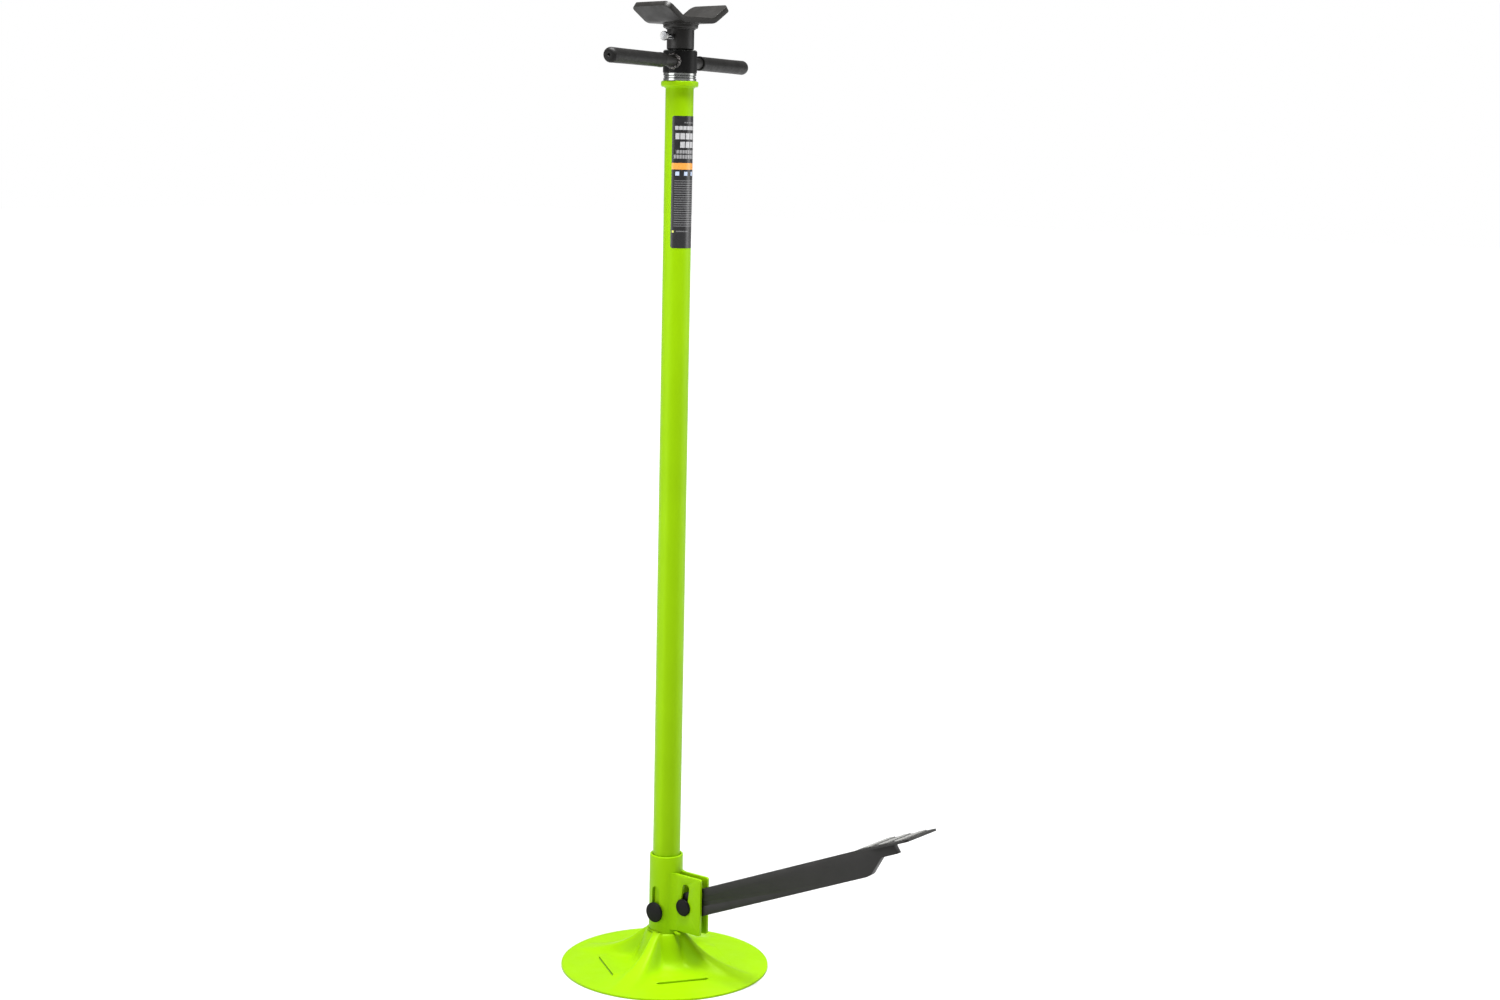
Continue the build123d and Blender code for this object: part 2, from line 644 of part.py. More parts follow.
flat_z = SOCKET_TOP + FLANGE_T
wing = math.radians(WING_ANGLE)
trough = (math.cos(math.radians(SADDLE_TURN)), math.sin(math.radians(SADDLE_TURN)), 0)
across = (-trough[1], trough[0], 0)
bend_x = SADDLE_FLAT / 2
under_x = bend_x + SADDLE_T * math.tan(wing / 2)
tip_in = (bend_x + WING_SLANT * math.cos(wing), SADDLE_T + WING_SLANT * math.sin(wing))
tip_out = (tip_in[0] + SADDLE_T * math.sin(wing), tip_in[1] - SADDLE_T * math.cos(wing))

with BuildPart() as saddle_vee:
    end_plane = Plane((0, 0, flat_z), x_dir=across, z_dir=trough)
    with BuildSketch(end_plane.offset(-SADDLE_L / 2)):
        with BuildLine():
            Polyline(
                (-under_x, 0), (under_x, 0), tip_out, tip_in, (bend_x, SADDLE_T), (-bend_x, SADDLE_T),
                (-tip_in[0], tip_in[1]), (-tip_out[0], tip_out[1]), close=True,
            )
        make_face()
    extrude(amount=SADDLE_L)
    # round the wings' free corners, seen square to each wing
    for side in (1, -1):
        wing_edges = saddle_vee.edges().filter_by(
            lambda edge, side=side: abs(edge.length - SADDLE_T) < 0.01
            and edge.center().Z > flat_z + SADDLE_T
            and side * (edge.center().X * across[0] + edge.center().Y * across[1]) > bend_x
        )
        fillet(wing_edges, WING_CORNER_R)
saddle_vee.part.label = "saddle_vee"
export_step(saddle_vee.part, "parts/saddle_vee.step")

with BuildPart() as lock_screw:
    with BuildSketch(Plane.XZ.offset(GROOVE_R + LOCK_TIP_GAP)):
        with Locations((0, LOCK_Z)):
            Circle(LOCK_R - LOCK_FIT)
    extrude(amount=LOCK_REACH - LOCK_HEAD_T - GROOVE_R - LOCK_TIP_GAP)
    with BuildSketch(Plane.XZ.offset(LOCK_REACH - LOCK_HEAD_T)):
        with Locations((0, LOCK_Z)):
            Circle(LOCK_HEAD_R)
    extrude(amount=LOCK_HEAD_T)
    chamfer(lock_screw.edges().filter_by(GeomType.CIRCLE).sort_by(Axis.Y)[0], EDGE_BREAK)
lock_screw.part.label = "lock_screw"
export_step(lock_screw.part, "parts/lock_screw.step")

print("column lift at full pedal", round(column_lift, 2), "stand height", round(flat_z + tip_in[1], 1))
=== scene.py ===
"""Looks of the under-hoist support stand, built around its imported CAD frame. Metres, +Z up, pedal to +X."""

import json
import math
import random

import bmesh
import bpy
from mathutils import Matrix, Vector

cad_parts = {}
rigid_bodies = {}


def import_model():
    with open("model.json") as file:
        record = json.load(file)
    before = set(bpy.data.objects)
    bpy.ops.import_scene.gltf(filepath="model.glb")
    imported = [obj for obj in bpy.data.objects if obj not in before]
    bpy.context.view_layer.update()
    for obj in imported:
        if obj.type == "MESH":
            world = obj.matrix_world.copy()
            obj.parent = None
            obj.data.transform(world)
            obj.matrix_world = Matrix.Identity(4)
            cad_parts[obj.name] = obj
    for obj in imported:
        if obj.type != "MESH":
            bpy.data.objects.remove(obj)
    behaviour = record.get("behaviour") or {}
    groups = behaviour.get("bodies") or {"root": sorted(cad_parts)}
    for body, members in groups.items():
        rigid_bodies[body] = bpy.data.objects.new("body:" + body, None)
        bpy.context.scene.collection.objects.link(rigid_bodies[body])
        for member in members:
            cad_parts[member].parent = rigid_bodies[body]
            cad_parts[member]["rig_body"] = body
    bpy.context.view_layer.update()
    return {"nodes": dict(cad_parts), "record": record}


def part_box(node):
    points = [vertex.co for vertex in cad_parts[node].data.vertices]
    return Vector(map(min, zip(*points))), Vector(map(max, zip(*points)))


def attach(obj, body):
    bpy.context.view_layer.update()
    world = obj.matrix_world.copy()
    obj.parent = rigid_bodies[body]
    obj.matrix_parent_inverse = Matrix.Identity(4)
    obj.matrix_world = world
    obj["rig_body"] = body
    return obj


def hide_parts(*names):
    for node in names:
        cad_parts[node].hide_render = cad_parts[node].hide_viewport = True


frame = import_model()

MM = 0.001
UP = Vector((0, 0, 1))
draw = random.Random(7)


def on_axis(node):
    """Outer radius, lowest and highest z of a node that stands round the column's axis."""
    low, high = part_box(node)
    return high.y, low.z, high.z


COLUMN_R, COLUMN_LOW, COLUMN_TOP = on_axis("column_tube")
SLEEVE_R, SLEEVE_LOW, SLEEVE_TOP = on_axis("guide_sleeve")
HUB_R, HUB_LOW, HUB_TOP = on_axis("spin_hub")
SOCKET_R, SOCKET_LOW, SOCKET_TOP = on_axis("saddle_socket")
FLANGE_R, _, FLANGE_TOP = on_axis("saddle_flange")
SCREW_R, SCREW_LOW, SCREW_TOP = on_axis("lead_screw")
RIM_R, _, NECK_TOP = on_axis("base_plate")
_, LABEL_LOW, LABEL_TOP = on_axis("column_label")
CHEEK_LOW, CHEEK_TOP = (corner.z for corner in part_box("bracket_cheek_near"))
PIN_LOW, PIN_HIGH = (corner.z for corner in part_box("lift_pin"))
PIN_Z = (PIN_LOW + PIN_HIGH) / 2


# ---------------------------------------------------------------- mesh tools
def piece_from(name, bm, body, material, replaced=(), sharp=35):
    """A finished piece from a bmesh: smooth except over sharp edges, riding on a body."""
    bmesh.ops.recalc_face_normals(bm, faces=bm.faces)
    mesh = bpy.data.meshes.new(name)
    bm.to_mesh(mesh)
    bm.free()
    for polygon in mesh.polygons:
        polygon.use_smooth = True
    mesh.set_sharp_from_angle(angle=math.radians(sharp))
    mesh.materials.append(material)
    obj = bpy.data.objects.new(name, mesh)
    bpy.context.scene.collection.objects.link(obj)
    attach(obj, body)
    if replaced:
        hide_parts(*replaced)
    return obj


def bake_modifiers(obj):
    """Turns the modifiers on a piece into its mesh."""
    bpy.context.view_layer.update()
    result = bpy.data.meshes.new_from_object(obj.evaluated_get(bpy.context.evaluated_depsgraph_get()))
    obj.modifiers.clear()
    obj.data = result
    for polygon in obj.data.polygons:
        polygon.use_smooth = True
    obj.data.set_sharp_from_angle(angle=math.radians(35))


def bevel(obj, width, segments=2, angle=35):
    """Rounds the edges of a piece that turn by more than an angle."""
    modifier = obj.modifiers.new("edges", "BEVEL")
    modifier.width = width
    modifier.segments = segments
    modifier.limit_method = "ANGLE"
    modifier.angle_limit = math.radians(angle)
    modifier.use_clamp_overlap = True
    modifier.harden_normals = True
    bake_modifiers(obj)


def twin(node, material, width, segments=2):
    """A copy of a CAD node with its edges rounded, as sheared, forged and turned edges are."""
    source = frame["nodes"][node]
    bm = bmesh.new()
    bm.from_mesh(source.data)
    bmesh.ops.remove_doubles(bm, verts=bm.verts, dist=2e-6)
    bmesh.ops.dissolve_limit(bm, angle_limit=math.radians(0.4), verts=bm.verts, edges=bm.edges)
    bmesh.ops.triangulate(bm, faces=bm.faces, ngon_method="BEAUTY")
    body = source["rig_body"]
    obj = piece_from(node + "_finished", bm, body, material, [node])
    bevel(obj, width, segments)
    return obj


def rounded(points, radius, steps=4):
    """A 2-D polyline with its inner corners rounded."""
    result = [points[0]]
    for before, corner, after in zip(points, points[1:], points[2:]):
        a, b, c = Vector(before), Vector(corner), Vector(after)
        reach = min(radius, (a - b).length * 0.45, (c - b).length * 0.45)
        start = b + (a - b).normalized() * reach
        end = b + (c - b).normalized() * reach
        for step in range(steps + 1):
            t = step / steps
            point = start * (1 - t) ** 2 + b * 2 * t * (1 - t) + end * t ** 2
            result.append(tuple(point))
    result.append(points[-1])
    return result


def round_axis(radius, angle, along):
    """A point at a radius and angle round the Z axis, and a distance along it."""
    return Vector((radius * math.cos(angle), radius * math.sin(angle), along))


def turned(profile, centre=(0, 0, 0), axis=UP, segments=96, closed=False, flutes=None):
    """A bmesh turned round an axis from (radius, along) points. Radius 0 closes onto the axis."""
    rotation = UP.rotation_difference(Vector(axis)).to_matrix().to_4x4()
    place = Matrix.Translation(centre) @ rotation
    bm = bmesh.new()
    rings = []
    for radius, along in profile:
        if radius < 1e-7:
            rings.append([bm.verts.new(place @ Vector((0, 0, along)))])
            continue
        ring = []
        for step in range(segments):
            angle = math.tau * step / segments
            reach = radius * (flutes(angle, along, radius) if flutes else 1)
            ring.append(bm.verts.new(place @ round_axis(reach, angle, along)))
        rings.append(ring)
    pairs = list(zip(rings, rings[1:]))
    if closed:
        pairs.append((rings[-1], rings[0]))
    for lower, upper in pairs:
        for step in range(segments):
            after = (step + 1) % segments
            if len(lower) == 1 and len(upper) == 1:
                break
            if len(lower) == 1:
                bm.faces.new((lower[0], upper[step], upper[after]))
            elif len(upper) == 1:
                bm.faces.new((lower[step], lower[after], upper[0]))
            else:
                bm.faces.new((lower[step], lower[after], upper[after], upper[step]))
    return bm


def tube_profile(outer, inner, low, high, edge=0.6 * MM):
    """Closed outline of a tube with broken edges, for turned(closed=True)."""
    corners = [(inner, low), (outer, low), (outer, high), (inner, high)]
    ring = corners[-1:] + corners + corners[:1]
    return rounded(ring, edge, 3)[1:-1]


def slot_cutter(height, width, centre, along, lean=0.0, depth=60 * MM):
    """A prism with round ends, standing up by its height, that cuts along a horizontal direction."""
    along = Vector(along).normalized()
    side = UP.cross(along)
    tall = (UP * math.cos(lean) + side * math.sin(lean)).normalized()
    wide = along.cross(tall)
    half = max(height / 2 - width / 2, 0)
    outline = []
    for end, start in ((1, 0), (-1, math.pi)):
        for step in range(13):
            angle = start + math.pi * step / 12
            rise = end * half + width / 2 * math.sin(angle)
            outline.append(tall * rise + wide * width / 2 * math.cos(angle))
    bm = bmesh.new()
    faces = []
    for reach in (-depth / 2, depth / 2):
        faces.append([bm.verts.new(Vector(centre) + point + along * reach) for point in outline])
    bm.faces.new(faces[0])
    bm.faces.new(list(reversed(faces[1])))
    for index in range(len(outline)):
        after = (index + 1) % len(outline)
        bm.faces.new((faces[0][index], faces[0][after], faces[1][after], faces[1][index]))
    bmesh.ops.recalc_face_normals(bm, faces=bm.faces)
    mesh = bpy.data.meshes.new("cutter")
    bm.to_mesh(mesh)
    bm.free()
    cutter = bpy.data.objects.new("cutter", mesh)
    bpy.context.scene.collection.objects.link(cutter)
    return cutter


def cut(obj, cutters):
    """Subtracts the cutters from a piece and removes them."""
    for cutter in cutters:
        modifier = obj.modifiers.new("cut", "BOOLEAN")
        modifier.operation = "DIFFERENCE"
        modifier.solver = "EXACT"
        modifier.object = cutter
    bake_modifiers(obj)
    for cutter in cutters:
        bpy.data.objects.remove(cutter)


def weld_bead(name, path, radius, body, material, closed=False):
    """A rippled weld bead along a path of points, as thick as its radius, with closed round ends."""
    bm = bmesh.new()
    sides = 12
    count = len(path)
    rings = []
    for index, point in enumerate(path):
        before = path[index - 1] if closed or index else path[0]
        after = path[(index + 1) % count] if closed or index < count - 1 else path[-1]
        forward = (after - before).normalized()
        side = forward.orthogonal().normalized()
        other = forward.cross(side)
        swell = 1 + 0.16 * math.cos(index * math.tau / 4) + draw.uniform(-0.05, 0.05)
        if not closed:
            swell *= min(1.0, 0.35 + 0.3 * min(index, count - 1 - index))
        rings.append([
            bm.verts.new(point + (side * math.cos(turn) + other * math.sin(turn)) * radius * swell)
            for turn in (math.tau * step / sides for step in range(sides))
        ])
    spans = list(zip(rings, rings[1:]))
    if closed:
        spans.append((rings[-1], rings[0]))
    for lower, upper in spans:
        nearest = min(range(sides), key=lambda shift: (lower[0].co - upper[shift].co).length)
        for step in range(sides):
            a, b = step, (step + 1) % sides
            bm.faces.new((lower[a], lower[b], upper[(b + nearest) % sides], upper[(a + nearest) % sides]))
    if not closed:
        bm.faces.new(rings[0])
        bm.faces.new(rings[-1])
    return piece_from(name, bm, body, material, sharp=80)


def circle_path(radius, height, step=1.1 * MM, start=0.0, end=math.tau):
    """Points along an arc round the column's axis."""
    count = max(12, int(radius * (end - start) / step))
    closed = end - start > math.tau - 0.01
    angles = [start + (end - start) * index / (count if closed else count - 1) for index in range(count)]
    return [round_axis(radius, angle, height) for angle in angles]


def straight_path(start, end, step=1.1 * MM):
    """Points along a line."""
    start, end = Vector(start), Vector(end)
    count = max(6, int((end - start).length / step))
    return [start.lerp(end, index / (count - 1)) for index in range(count)]


# ---------------------------------------------------------------- material tools
class Surface:
    """A Principled material with helpers for the nodes that give it its detail."""

    def __init__(self, name, colour, roughness, metallic=0.0, coat=0.0):
        self.material = bpy.data.materials.new(name)
        self.material.use_nodes = True
        self.nodes = self.material.node_tree.nodes
        self.links = self.material.node_tree.links
        self.shader = self.nodes["Principled BSDF"]
        self.shader.inputs["Base Color"].default_value = (*colour, 1)
        self.shader.inputs["Roughness"].default_value = roughness
        self.shader.inputs["Metallic"].default_value = metallic
        self.shader.inputs["Coat Weight"].default_value = coat
        self.place = self.nodes.new("ShaderNodeTexCoord").outputs["Object"]

    def link(self, output, node_input):
        self.links.new(output, node_input)

    def stretched(self, scale):
        """Object coordinates scaled per axis."""
        node = self.nodes.new("ShaderNodeMapping")
        node.inputs["Scale"].default_value = scale
        self.link(self.place, node.inputs["Vector"])
        return node.outputs["Vector"]

    def noise(self, scale, detail=3.0, roughness=0.55, at=None):
        node = self.nodes.new("ShaderNodeTexNoise")
        node.inputs["Scale"].default_value = scale
        node.inputs["Detail"].default_value = detail
        node.inputs["Roughness"].default_value = roughness
        self.link(at or self.place, node.inputs["Vector"])
        return node.outputs["Fac"]

    def math(self, operation, first, second=0.0, third=0.0):
        node = self.nodes.new("ShaderNodeMath")
        node.operation = operation
        for socket, value in zip(node.inputs, (first, second, third)):
            if isinstance(value, (int, float)):
                socket.default_value = value
            else:
                self.link(value, socket)
        return node.outputs[0]

    def spread(self, value, low, high, from_low=0.3, from_high=0.7):
        """Maps a varying value to a range."""
        node = self.nodes.new("ShaderNodeMapRange")
        node.inputs["From Min"].default_value = from_low
        node.inputs["From Max"].default_value = from_high
        node.inputs["To Min"].default_value = low
        node.inputs["To Max"].default_value = high
        self.link(value, node.inputs["Value"])
        return node.outputs["Result"]

    def mix(self, factor, first, second):
        """Colours mixed by a varying factor. Each is a colour or an output."""
        node = self.nodes.new("ShaderNodeMix")
        node.data_type = "RGBA"
        self.link(factor, node.inputs["Factor"])
        for socket, value in ((node.inputs["A"], first), (node.inputs["B"], second)):
            socket = next(s for s in node.inputs if s.name == socket.name and s.type == "RGBA")
            if isinstance(value, tuple):
                socket.default_value = (*value, 1)
            else:
                self.link(value, socket)
        return next(s for s in node.outputs if s.type == "RGBA")

    def bump(self, height, distance, strength=1.0):
        """Adds a bump below the ones already there."""
        node = self.nodes.new("ShaderNodeBump")
        node.inputs["Distance"].default_value = distance
        node.inputs["Strength"].default_value = strength
        self.link(height, node.inputs["Height"])
        earlier = self.shader.inputs["Normal"].links
        if earlier:
            self.link(earlier[0].from_socket, node.inputs["Normal"])
        self.link(node.outputs["Normal"], self.shader.inputs["Normal"])

    def colour(self, output):
        self.link(output, self.shader.inputs["Base Color"])

    def rough(self, output):
        self.link(output, self.shader.inputs["Roughness"])


def scaled(colour, factor):
    return tuple(channel * factor for channel in colour)


LIME = (0.228, 0.440, 0.0005)
SATIN = (0.0068, 0.0062, 0.0055)
OXIDE = (0.0035, 0.0035, 0.0035)


def lime_powder_coat():
    s = Surface("lime_powder_coat", LIME, 0.34)
    s.shader.inputs["Specular IOR Level"].default_value = 0.22
    s.shader.inputs["Specular Tint"].default_value = (0.75, 1.0, 0.2, 1)
    cloud = s.noise(9, 2)
    speck = s.noise(900, 2)
    tone = s.mix(s.spread(cloud, 0, 1), scaled(LIME, 0.95), scaled(LIME, 1.04))
    s.colour(s.mix(s.spread(speck, 0, 0.12, 0.55, 0.8), tone, scaled(LIME, 1.25)))
    s.rough(s.spread(s.noise(40, 3), 0.36, 0.5))
    s.bump(s.noise(260, 2), 0.00012, 0.5)
    s.bump(s.noise(1100, 2), 0.00003, 0.35)
    return s.material


def black_powder_coat():
    s = Surface("black_powder_coat", SATIN, 0.42)
    s.shader.inputs["Specular IOR Level"].default_value = 0.3
    tone = s.mix(s.spread(s.noise(14, 3), 0, 1), scaled(SATIN, 0.85), scaled(SATIN, 1.25))
    s.colour(s.mix(s.spread(s.noise(1400, 2), 0, 0.35, 0.6, 0.8), tone, scaled(SATIN, 3)))
    s.rough(s.spread(s.noise(60, 3), 0.36, 0.52))
    s.bump(s.noise(520, 3), 0.00007, 0.5)
    return s.material


def black_oxide():
    s = Surface("black_oxide_steel", OXIDE, 0.38)
    s.shader.inputs["Specular IOR Level"].default_value = 0.11
    rings = s.noise(1, 3, at=s.stretched((60, 60, 2600)))
    s.colour(s.mix(s.spread(s.noise(90, 4), 0, 1), scaled(OXIDE, 0.75), scaled(OXIDE, 1.7)))
    s.rough(s.spread(rings, 0.3, 0.48))
    s.bump(rings, 0.00003, 0.35)
    s.bump(s.noise(700, 2), 0.00003, 0.4)
    return s.material


def spattered_weld():
    s = Surface("spattered_weld", SATIN, 0.35)
    s.colour(s.mix(s.spread(s.noise(420, 2), 0, 1, 0.52, 0.62), scaled(SATIN, 1.2), (0.20, 0.18, 0.175)))
    s.rough(s.spread(s.noise(300, 2), 0.25, 0.5))
    s.bump(s.noise(500, 2), 0.0002, 0.6)
    return s.material


def zinc_plate():
    s = Surface("bright_zinc", (0.25, 0.255, 0.26), 0.5, metallic=1.0)
    s.colour(s.mix(s.spread(s.noise(120, 3), 0, 1), (0.21, 0.215, 0.225), (0.29, 0.288, 0.275)))
    s.rough(s.spread(s.noise(260, 3), 0.16, 0.34))
    s.bump(s.noise(1500, 2), 0.00002, 0.4)
    return s.material


def ground_steel():
    s = Surface("ground_bearing_steel", (0.36, 0.37, 0.36), 0.2, metallic=1.0)
    rings = s.noise(1, 2, at=s.stretched((20, 20, 5200)))
    s.colour(s.mix(s.spread(rings, 0, 1), (0.22, 0.23, 0.22), (0.46, 0.47, 0.46)))
    s.rough(s.spread(rings, 0.12, 0.3))
    s.bump(rings, 0.00001, 0.5)
    return s.material


def oiled_screw_steel():
    s = Surface("oiled_screw_steel", (0.42, 0.42, 0.42), 0.28, metallic=1.0)
    film = s.noise(45, 4)
    s.colour(s.mix(s.spread(film, 0, 1, 0.35, 0.65), (0.30, 0.29, 0.27), (0.50, 0.50, 0.51)))
    s.rough(s.spread(film, 0.18, 0.4))
    s.bump(s.noise(1, 2, at=s.stretched((900, 900, 120))), 0.00003, 0.4)
    return s.material


def soft_vinyl():
    s = Surface("soft_vinyl", (0.006, 0.0057, 0.0054), 0.46)
    s.shader.inputs["Specular IOR Level"].default_value = 0.16
    s.colour(s.mix(s.spread(s.noise(30, 3), 0, 1), (0.004, 0.0038, 0.0036), (0.008, 0.0077, 0.0074)))
    s.rough(s.spread(s.noise(150, 3), 0.4, 0.55))
    s.bump(s.noise(1800, 2), 0.00004, 0.4)
    s.bump(s.noise(90, 2), 0.00015, 0.25)
    return s.material


def grit_strip():
    s = Surface("anti_slip_grit", (0.26, 0.26, 0.25), 0.8)
    grains = s.nodes.new("ShaderNodeTexVoronoi")
    grains.inputs["Scale"].default_value = 1100
    s.link(s.place, grains.inputs["Vector"])
    between = s.spread(grains.outputs["Distance"], 0, 1, 0.05, 0.6)
    s.colour(s.mix(between, (0.36, 0.36, 0.345), (0.15, 0.15, 0.145)))
    s.rough(s.spread(s.noise(800, 2), 0.62, 0.95))
    s.bump(s.math("SUBTRACT", 1.0, grains.outputs["Distance"]), 0.0003, 0.9)
    return s.material


def printed_film():
    """Black film with plain printed bars, blocks and dots. There is no lettering."""
    film = (0.004, 0.004, 0.005)
    white = (0.42, 0.42, 0.43)
    s = Surface("printed_film", film, 0.3, coat=0.05)
    axes = s.nodes.new("ShaderNodeSeparateXYZ")
    s.link(s.place, axes.inputs["Vector"])
    height = s.math("SUBTRACT", LABEL_TOP, axes.outputs["Z"])
    turn = s.math("ARCTAN2", axes.outputs["Y"], axes.outputs["X"])

    def area(top, bottom, half_turn, centre=0.0):
        """1 inside a block, given in millimetres from the label's top and degrees round the column."""
        rows = s.math("COMPARE", height, (top + bottom) / 2 * MM, (bottom - top) / 2 * MM)
        columns = s.math("COMPARE", turn, math.radians(centre), math.radians(half_turn))
        return s.math("MULTIPLY", rows, columns)

    def blocks(top, bottom, half_turn, pitch, filled):
        """A row of plain blocks, a pitch apart in degrees."""
        place = s.math("FRACT", s.math("MULTIPLY", turn, 180 / math.pi / pitch))
        return s.math("MULTIPLY", s.math("COMPARE", place, 0.5, filled / 2), area(top, bottom, half_turn))

    blend = s.mix(s.spread(s.noise(60, 3), 0, 1), film, scaled(film, 1.5))
    blend = s.mix(blocks(8.6, 10.2, 30, 10, 0.7), blend, scaled(white, 0.4))
    blend = s.mix(blocks(14.2, 19.6, 66, 17, 0.86), blend, white)
    blend = s.mix(blocks(24.2, 32.8, 64, 23, 0.84), blend, white)
    blend = s.mix(blocks(36.2, 44.7, 45, 23, 0.84), blend, white)
    blend = s.mix(blocks(48.0, 52.8, 62, 12, 0.78), blend, scaled(white, 0.6))
    blend = s.mix(blocks(54.6, 60.0, 70, 12, 0.78), blend, scaled(white, 0.6))
    blend = s.mix(area(66.2, 75.3, 90), blend, (0.72, 0.30, 0.045))
    for centre in (-54, -18, 18, 54):
        blend = s.mix(area(78.3, 84.0, 8, centre), blend, (0.42, 0.50, 0.66))
    row = s.math("FRACT", s.math("MULTIPLY", height, 1 / (3.2 * MM)))
    lines = s.math("MULTIPLY", s.math("COMPARE", row, 0.5, 0.16), area(90, 157.5, 66))
    blend = s.mix(lines, blend, (0.14, 0.14, 0.145))
    blend = s.mix(area(161.5, 164.5, 4, -69), blend, (0.60, 0.62, 0.14))
    blend = s.mix(area(162, 163.5, 26, -30), blend, (0.12, 0.12, 0.125))
    s.colour(blend)
    s.rough(s.spread(s.noise(200, 2), 0.24, 0.36))
    s.bump(s.noise(300, 2), 0.00003, 0.3)
    return s.material


lime = lime_powder_coat()
black = black_powder_coat()
oxide = black_oxide()
zinc = zinc_plate()
spatter = spattered_weld()
steel = ground_steel()
screw_metal = oiled_screw_steel()
vinyl = soft_vinyl()
grit = grit_strip()
film = printed_film()

SLOT_OF = {entry["node"]: entry["material_slot"] for entry in frame["record"]["subparts"]}
MATERIAL_OF_SLOT = {
    "lime_paint": lime, "black_paint": black, "black_oxide": oxide, "zinc": zinc, "ground_steel": steel,
    "screw_steel": screw_metal, "grip_vinyl": vinyl, "label_film": film, "tread_grit": grit,
}
for node, obj in frame["nodes"].items():
    obj.data.materials.clear()
    obj.data.materials.append(MATERIAL_OF_SLOT[SLOT_OF[node]])


# ---------------------------------------------------------------- stamped base
SHEET = 3 * MM
DECK = 6.6 * MM                 # top of the raised centre
DISH_DEPTH = 1.6 * MM           # how far the panels between the ribs sink
RIB_TURN = math.radians(11.5)   # of a rib from the lever's direction
SLIT_REACH = 90 * MM            # from the axis to a slit
SLIT_HALF = 40.4 * MM           # half a slit's length
SLIT_GAP = 0.9 * MM
# Radius and height in mm of the cone round the neck, and of a rib's crest
CONE = [(28.5, 56), (32, 43), (38, 22), (50, 4), (62, -14), (170, -60)]
CREST = [(24, 56), (34, 52), (44, 43), (56, 32.5), (80, 19.5), (110, 9.5), (140, 3), (160, 0)]


def line_through(points, x):
    """Height at x of straight stretches between points. Points are in millimetres, the rest in metres."""
    x = x / MM
    if x <= points[0][0]:
        return points[0][1] * MM
    for (x0, y0), (x1, y1) in zip(points, points[1:]):
        if x <= x1:
            t = (x - x0) / (x1 - x0)
            return (y0 + (y1 - y0) * t) * MM
    return points[-1][1] * MM


def softened(points, x, width=5 * MM):
    """The same line averaged over a width, so that it has no corners."""
    samples = [line_through(points, x + width * offset) for offset in (-1, -0.66, -0.33, 0, 0.33, 0.66, 1)]
    return sum(samples) / len(samples)


def smooth_step(low, high, x):
    t = min(1, max(0, (x - low) / (high - low)))
    return t * t * (3 - 2 * t)


def smooth_max(a, b, width):
    """The larger of two heights, blended where they are within a width. Equal ones gain a quarter of it."""
    overlap = max(width - abs(a - b), 0) / width
    return max(a, b) + overlap * overlap * width / 4


def from_slit(angle):
    """Angle from the nearest slit's middle, -45 to 45 degrees."""
    return (angle - RIB_TURN) % (math.pi / 2) - math.pi / 4


SLIT_EDGE = math.atan2(SLIT_HALF, SLIT_REACH)
CORNER_REACH = (SLIT_REACH + SLIT_HALF) / math.sqrt(2)


def step_radius(angle):
    """Distance to the step between the raised centre and the ring."""
    off = abs(from_slit(angle))
    if off <= SLIT_EDGE:
        return SLIT_REACH / math.cos(off)
    return CORNER_REACH / math.cos(math.pi / 4 - off)


def base_height(radius, angle, side):
    """Top surface of the stamping. Side is -1 on the raised centre, 1 on the ring."""
    off = abs(from_slit(angle))
    past_end = smooth_step(SLIT_EDGE - math.radians(3), SLIT_EDGE + math.radians(5), off)
    if past_end <= 0:
        share = 0.0 if side > 0 else 1.0
    else:
        ramp = max(past_end, 0.05) * 13 * MM
        share = 1 - smooth_step(-ramp, ramp, radius - step_radius(angle))
    level = SHEET + (DECK - SHEET) * share
    ring = smooth_step(50 * MM, 70 * MM, radius) * smooth_step(90 * MM, 74 * MM, radius)
    level -= DISH_DEPTH * ring * (1 - past_end)
    height = smooth_max(level, softened(CONE, radius, 5 * MM), 14 * MM)
    from_rib = math.pi / 4 - off
    along = radius * math.cos(from_rib)
    aside = radius * math.sin(from_rib)
    half_width = 13 * MM + 7 * MM * smooth_step(35 * MM, 110 * MM, along)
    shape = 1 / (1 + (aside / half_width) ** 4)
    crest = softened(CREST, along, 9 * MM) * shape
    return smooth_max(height, crest, 11 * MM * smooth_step(150 * MM, 80 * MM, radius) + 0.4 * MM)


